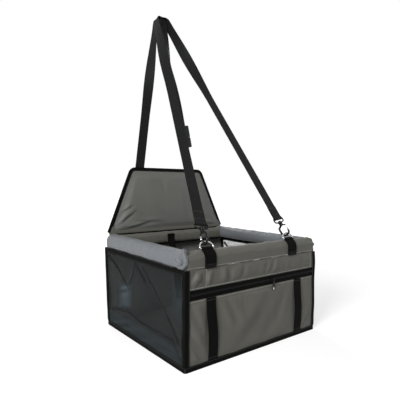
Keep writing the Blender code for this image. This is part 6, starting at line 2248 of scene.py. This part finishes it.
class Stage(bpy.types.Operator):
    """Pale floor, white surroundings, soft lamps and the camera."""

    bl_idname = "pet_seat.stage"
    bl_label = "Stage"

    def execute(self, context):
        self.floor(context.scene.seat_colours.floor)
        self.world()
        self.lamps()
        self.camera(context.scene)
        context.scene.view_settings.view_transform = "Standard"
        return {"FINISHED"}

    def floor(self, colour):
        """A disc of rings whose height is nothing, under the seat."""
        reach = np.array([0.0, 0.3, 0.6, 1.0, 1.6, 2.6, 4.5, 8.0, 14.0])
        turn = full_turn(64)
        points = at(reach[:, None] * np.cos(turn), reach[:, None] * np.sin(turn), FLOOR_HEIGHT)
        made = plain_object("floor", [grid(points, wrap_columns=True)])
        made.data.materials.append(self.floor_finish(colour))

    def floor_finish(self, colour):
        """Pale matt paper that glows for the camera and for reflections, fully only far from the seat."""
        material, nodes, shader = start_material("Pale floor", Roughness=0.9)
        place = nodes.add("ShaderNodeTexCoord").outputs["Object"]
        tone = placed(nodes, "Uneven tone", place, Broad=2.0, Fine=900.0, Amount=0.02)
        nodes.link(shaded(nodes, colour, tone["Shade"]), shader.inputs["Base Color"])
        seen = seen_rays(nodes)
        far = nodes.add("ShaderNodeVectorMath", {0: place}, operation="LENGTH").outputs["Value"]
        values = {"Value": far, 1: GLOW_START, 2: GLOW_END, 3: 0.0, 4: 1.0}
        fade = nodes.add("ShaderNodeMapRange", values, interpolation_type="SMOOTHSTEP")
        glow = nodes.sum("MULTIPLY_ADD", fade.outputs[0], GLOW_FAR - GLOW_NEAR, GLOW_NEAR)
        nodes.link(nodes.sum("MULTIPLY", seen, glow), shader.inputs["Emission Strength"])
        shader.inputs["Emission Color"].default_value = (1.0, 1.0, 1.0, 1.0)
        return material

    def world(self):
        """White for the camera, dim for the light that falls on the seat."""
        world = bpy.data.worlds.new("Studio")
        world.use_nodes = True
        nodes = Nodes(world.node_tree)
        seen = seen_rays(nodes)
        level = nodes.sum("MULTIPLY_ADD", seen, 1.0 - WORLD_LEVEL, WORLD_LEVEL)
        light = nodes.add("ShaderNodeBackground", {"Color": (1.0, 1.0, 1.0, 1.0), "Strength": level})
        nodes.add("ShaderNodeOutputWorld", {"Surface": light.outputs[0]})
        bpy.context.scene.world = world

    def lamps(self):
        """Square lamps, aimed at the seat."""
        for name, place, target, size, power in LAMPS:
            data = bpy.data.lights.new(name, "AREA")
            data.shape = "SQUARE"
            data.size = size
            data.energy = power
            lamp = bpy.data.objects.new(name, data)
            bpy.context.scene.collection.objects.link(lamp)
            aim(lamp, place, target)

    def camera(self, scene):
        """The camera that the photo was fitted with."""
        data = bpy.data.cameras.new("Photo camera")
        data.lens = CAMERA_LENS
        data.sensor_width = CAMERA_SENSOR
        data.clip_start = 0.01
        camera = bpy.data.objects.new("Photo camera", data)
        scene.collection.objects.link(camera)
        aim(camera, CAMERA_PLACE, CAMERA_TARGET, CAMERA_ROLL)
        scene.camera = camera


def aim(made, place, target, roll=0.0):
    """Puts an object at a place, looking at a target, rolled about its line of sight."""
    back = Vector(place) - Vector(target)
    made.location = place
    made.rotation_mode = "QUATERNION"
    made.rotation_quaternion = back.to_track_quat("Z", "Y") @ Quaternion((0.0, 0.0, 1.0), roll)


# Panel and registration

PIECES = (
    PocketPanel,
    HeaderStrip,
    InnerPanels,
    MeshSides,
    FrontRoll,
    SideRolls,
    BackBand,
    Bindings,
    PocketZip,
    PocketWebs,
    RingTabs,
    DRings,
    HangingStraps,
    SnapHooks,
    Flap,
    FloorPad,
    Tether,
    Stitching,
    RigidNodes,
    Stage,
)


class SeatPanel(bpy.types.Panel):
    """Lists the seat's sizes, its colours and the operator of each piece."""

    bl_idname = "VIEW3D_PT_pet_seat"
    bl_label = "Pet Seat"
    bl_space_type = "VIEW_3D"
    bl_region_type = "UI"
    bl_category = "Pet Seat"

    def draw(self, context):
        for group in (context.scene.seat_sizes, context.scene.seat_colours):
            for name in group.__annotations__:
                self.layout.prop(group, name)
        for operator in PIECES:
            self.layout.operator(operator.bl_idname)


CLASSES = (SeatSizes, SeatColours, *PIECES, SeatPanel)


def register():
    """Registers the add-on's classes and puts its sizes and colours on the scene."""
    for made in CLASSES:
        bpy.utils.register_class(made)
    bpy.types.Scene.seat_sizes = bpy.props.PointerProperty(type=SeatSizes)
    bpy.types.Scene.seat_colours = bpy.props.PointerProperty(type=SeatColours)


def unregister():
    """Takes the sizes, the colours and the classes away again."""
    del bpy.types.Scene.seat_colours
    del bpy.types.Scene.seat_sizes
    for made in reversed(CLASSES):
        bpy.utils.unregister_class(made)


def main():
    """Builds every piece in order."""
    register()
    for operator in PIECES:
        family, name = operator.bl_idname.split(".")
        getattr(getattr(bpy.ops, family), name)()


if __name__ == "__main__":
    main()
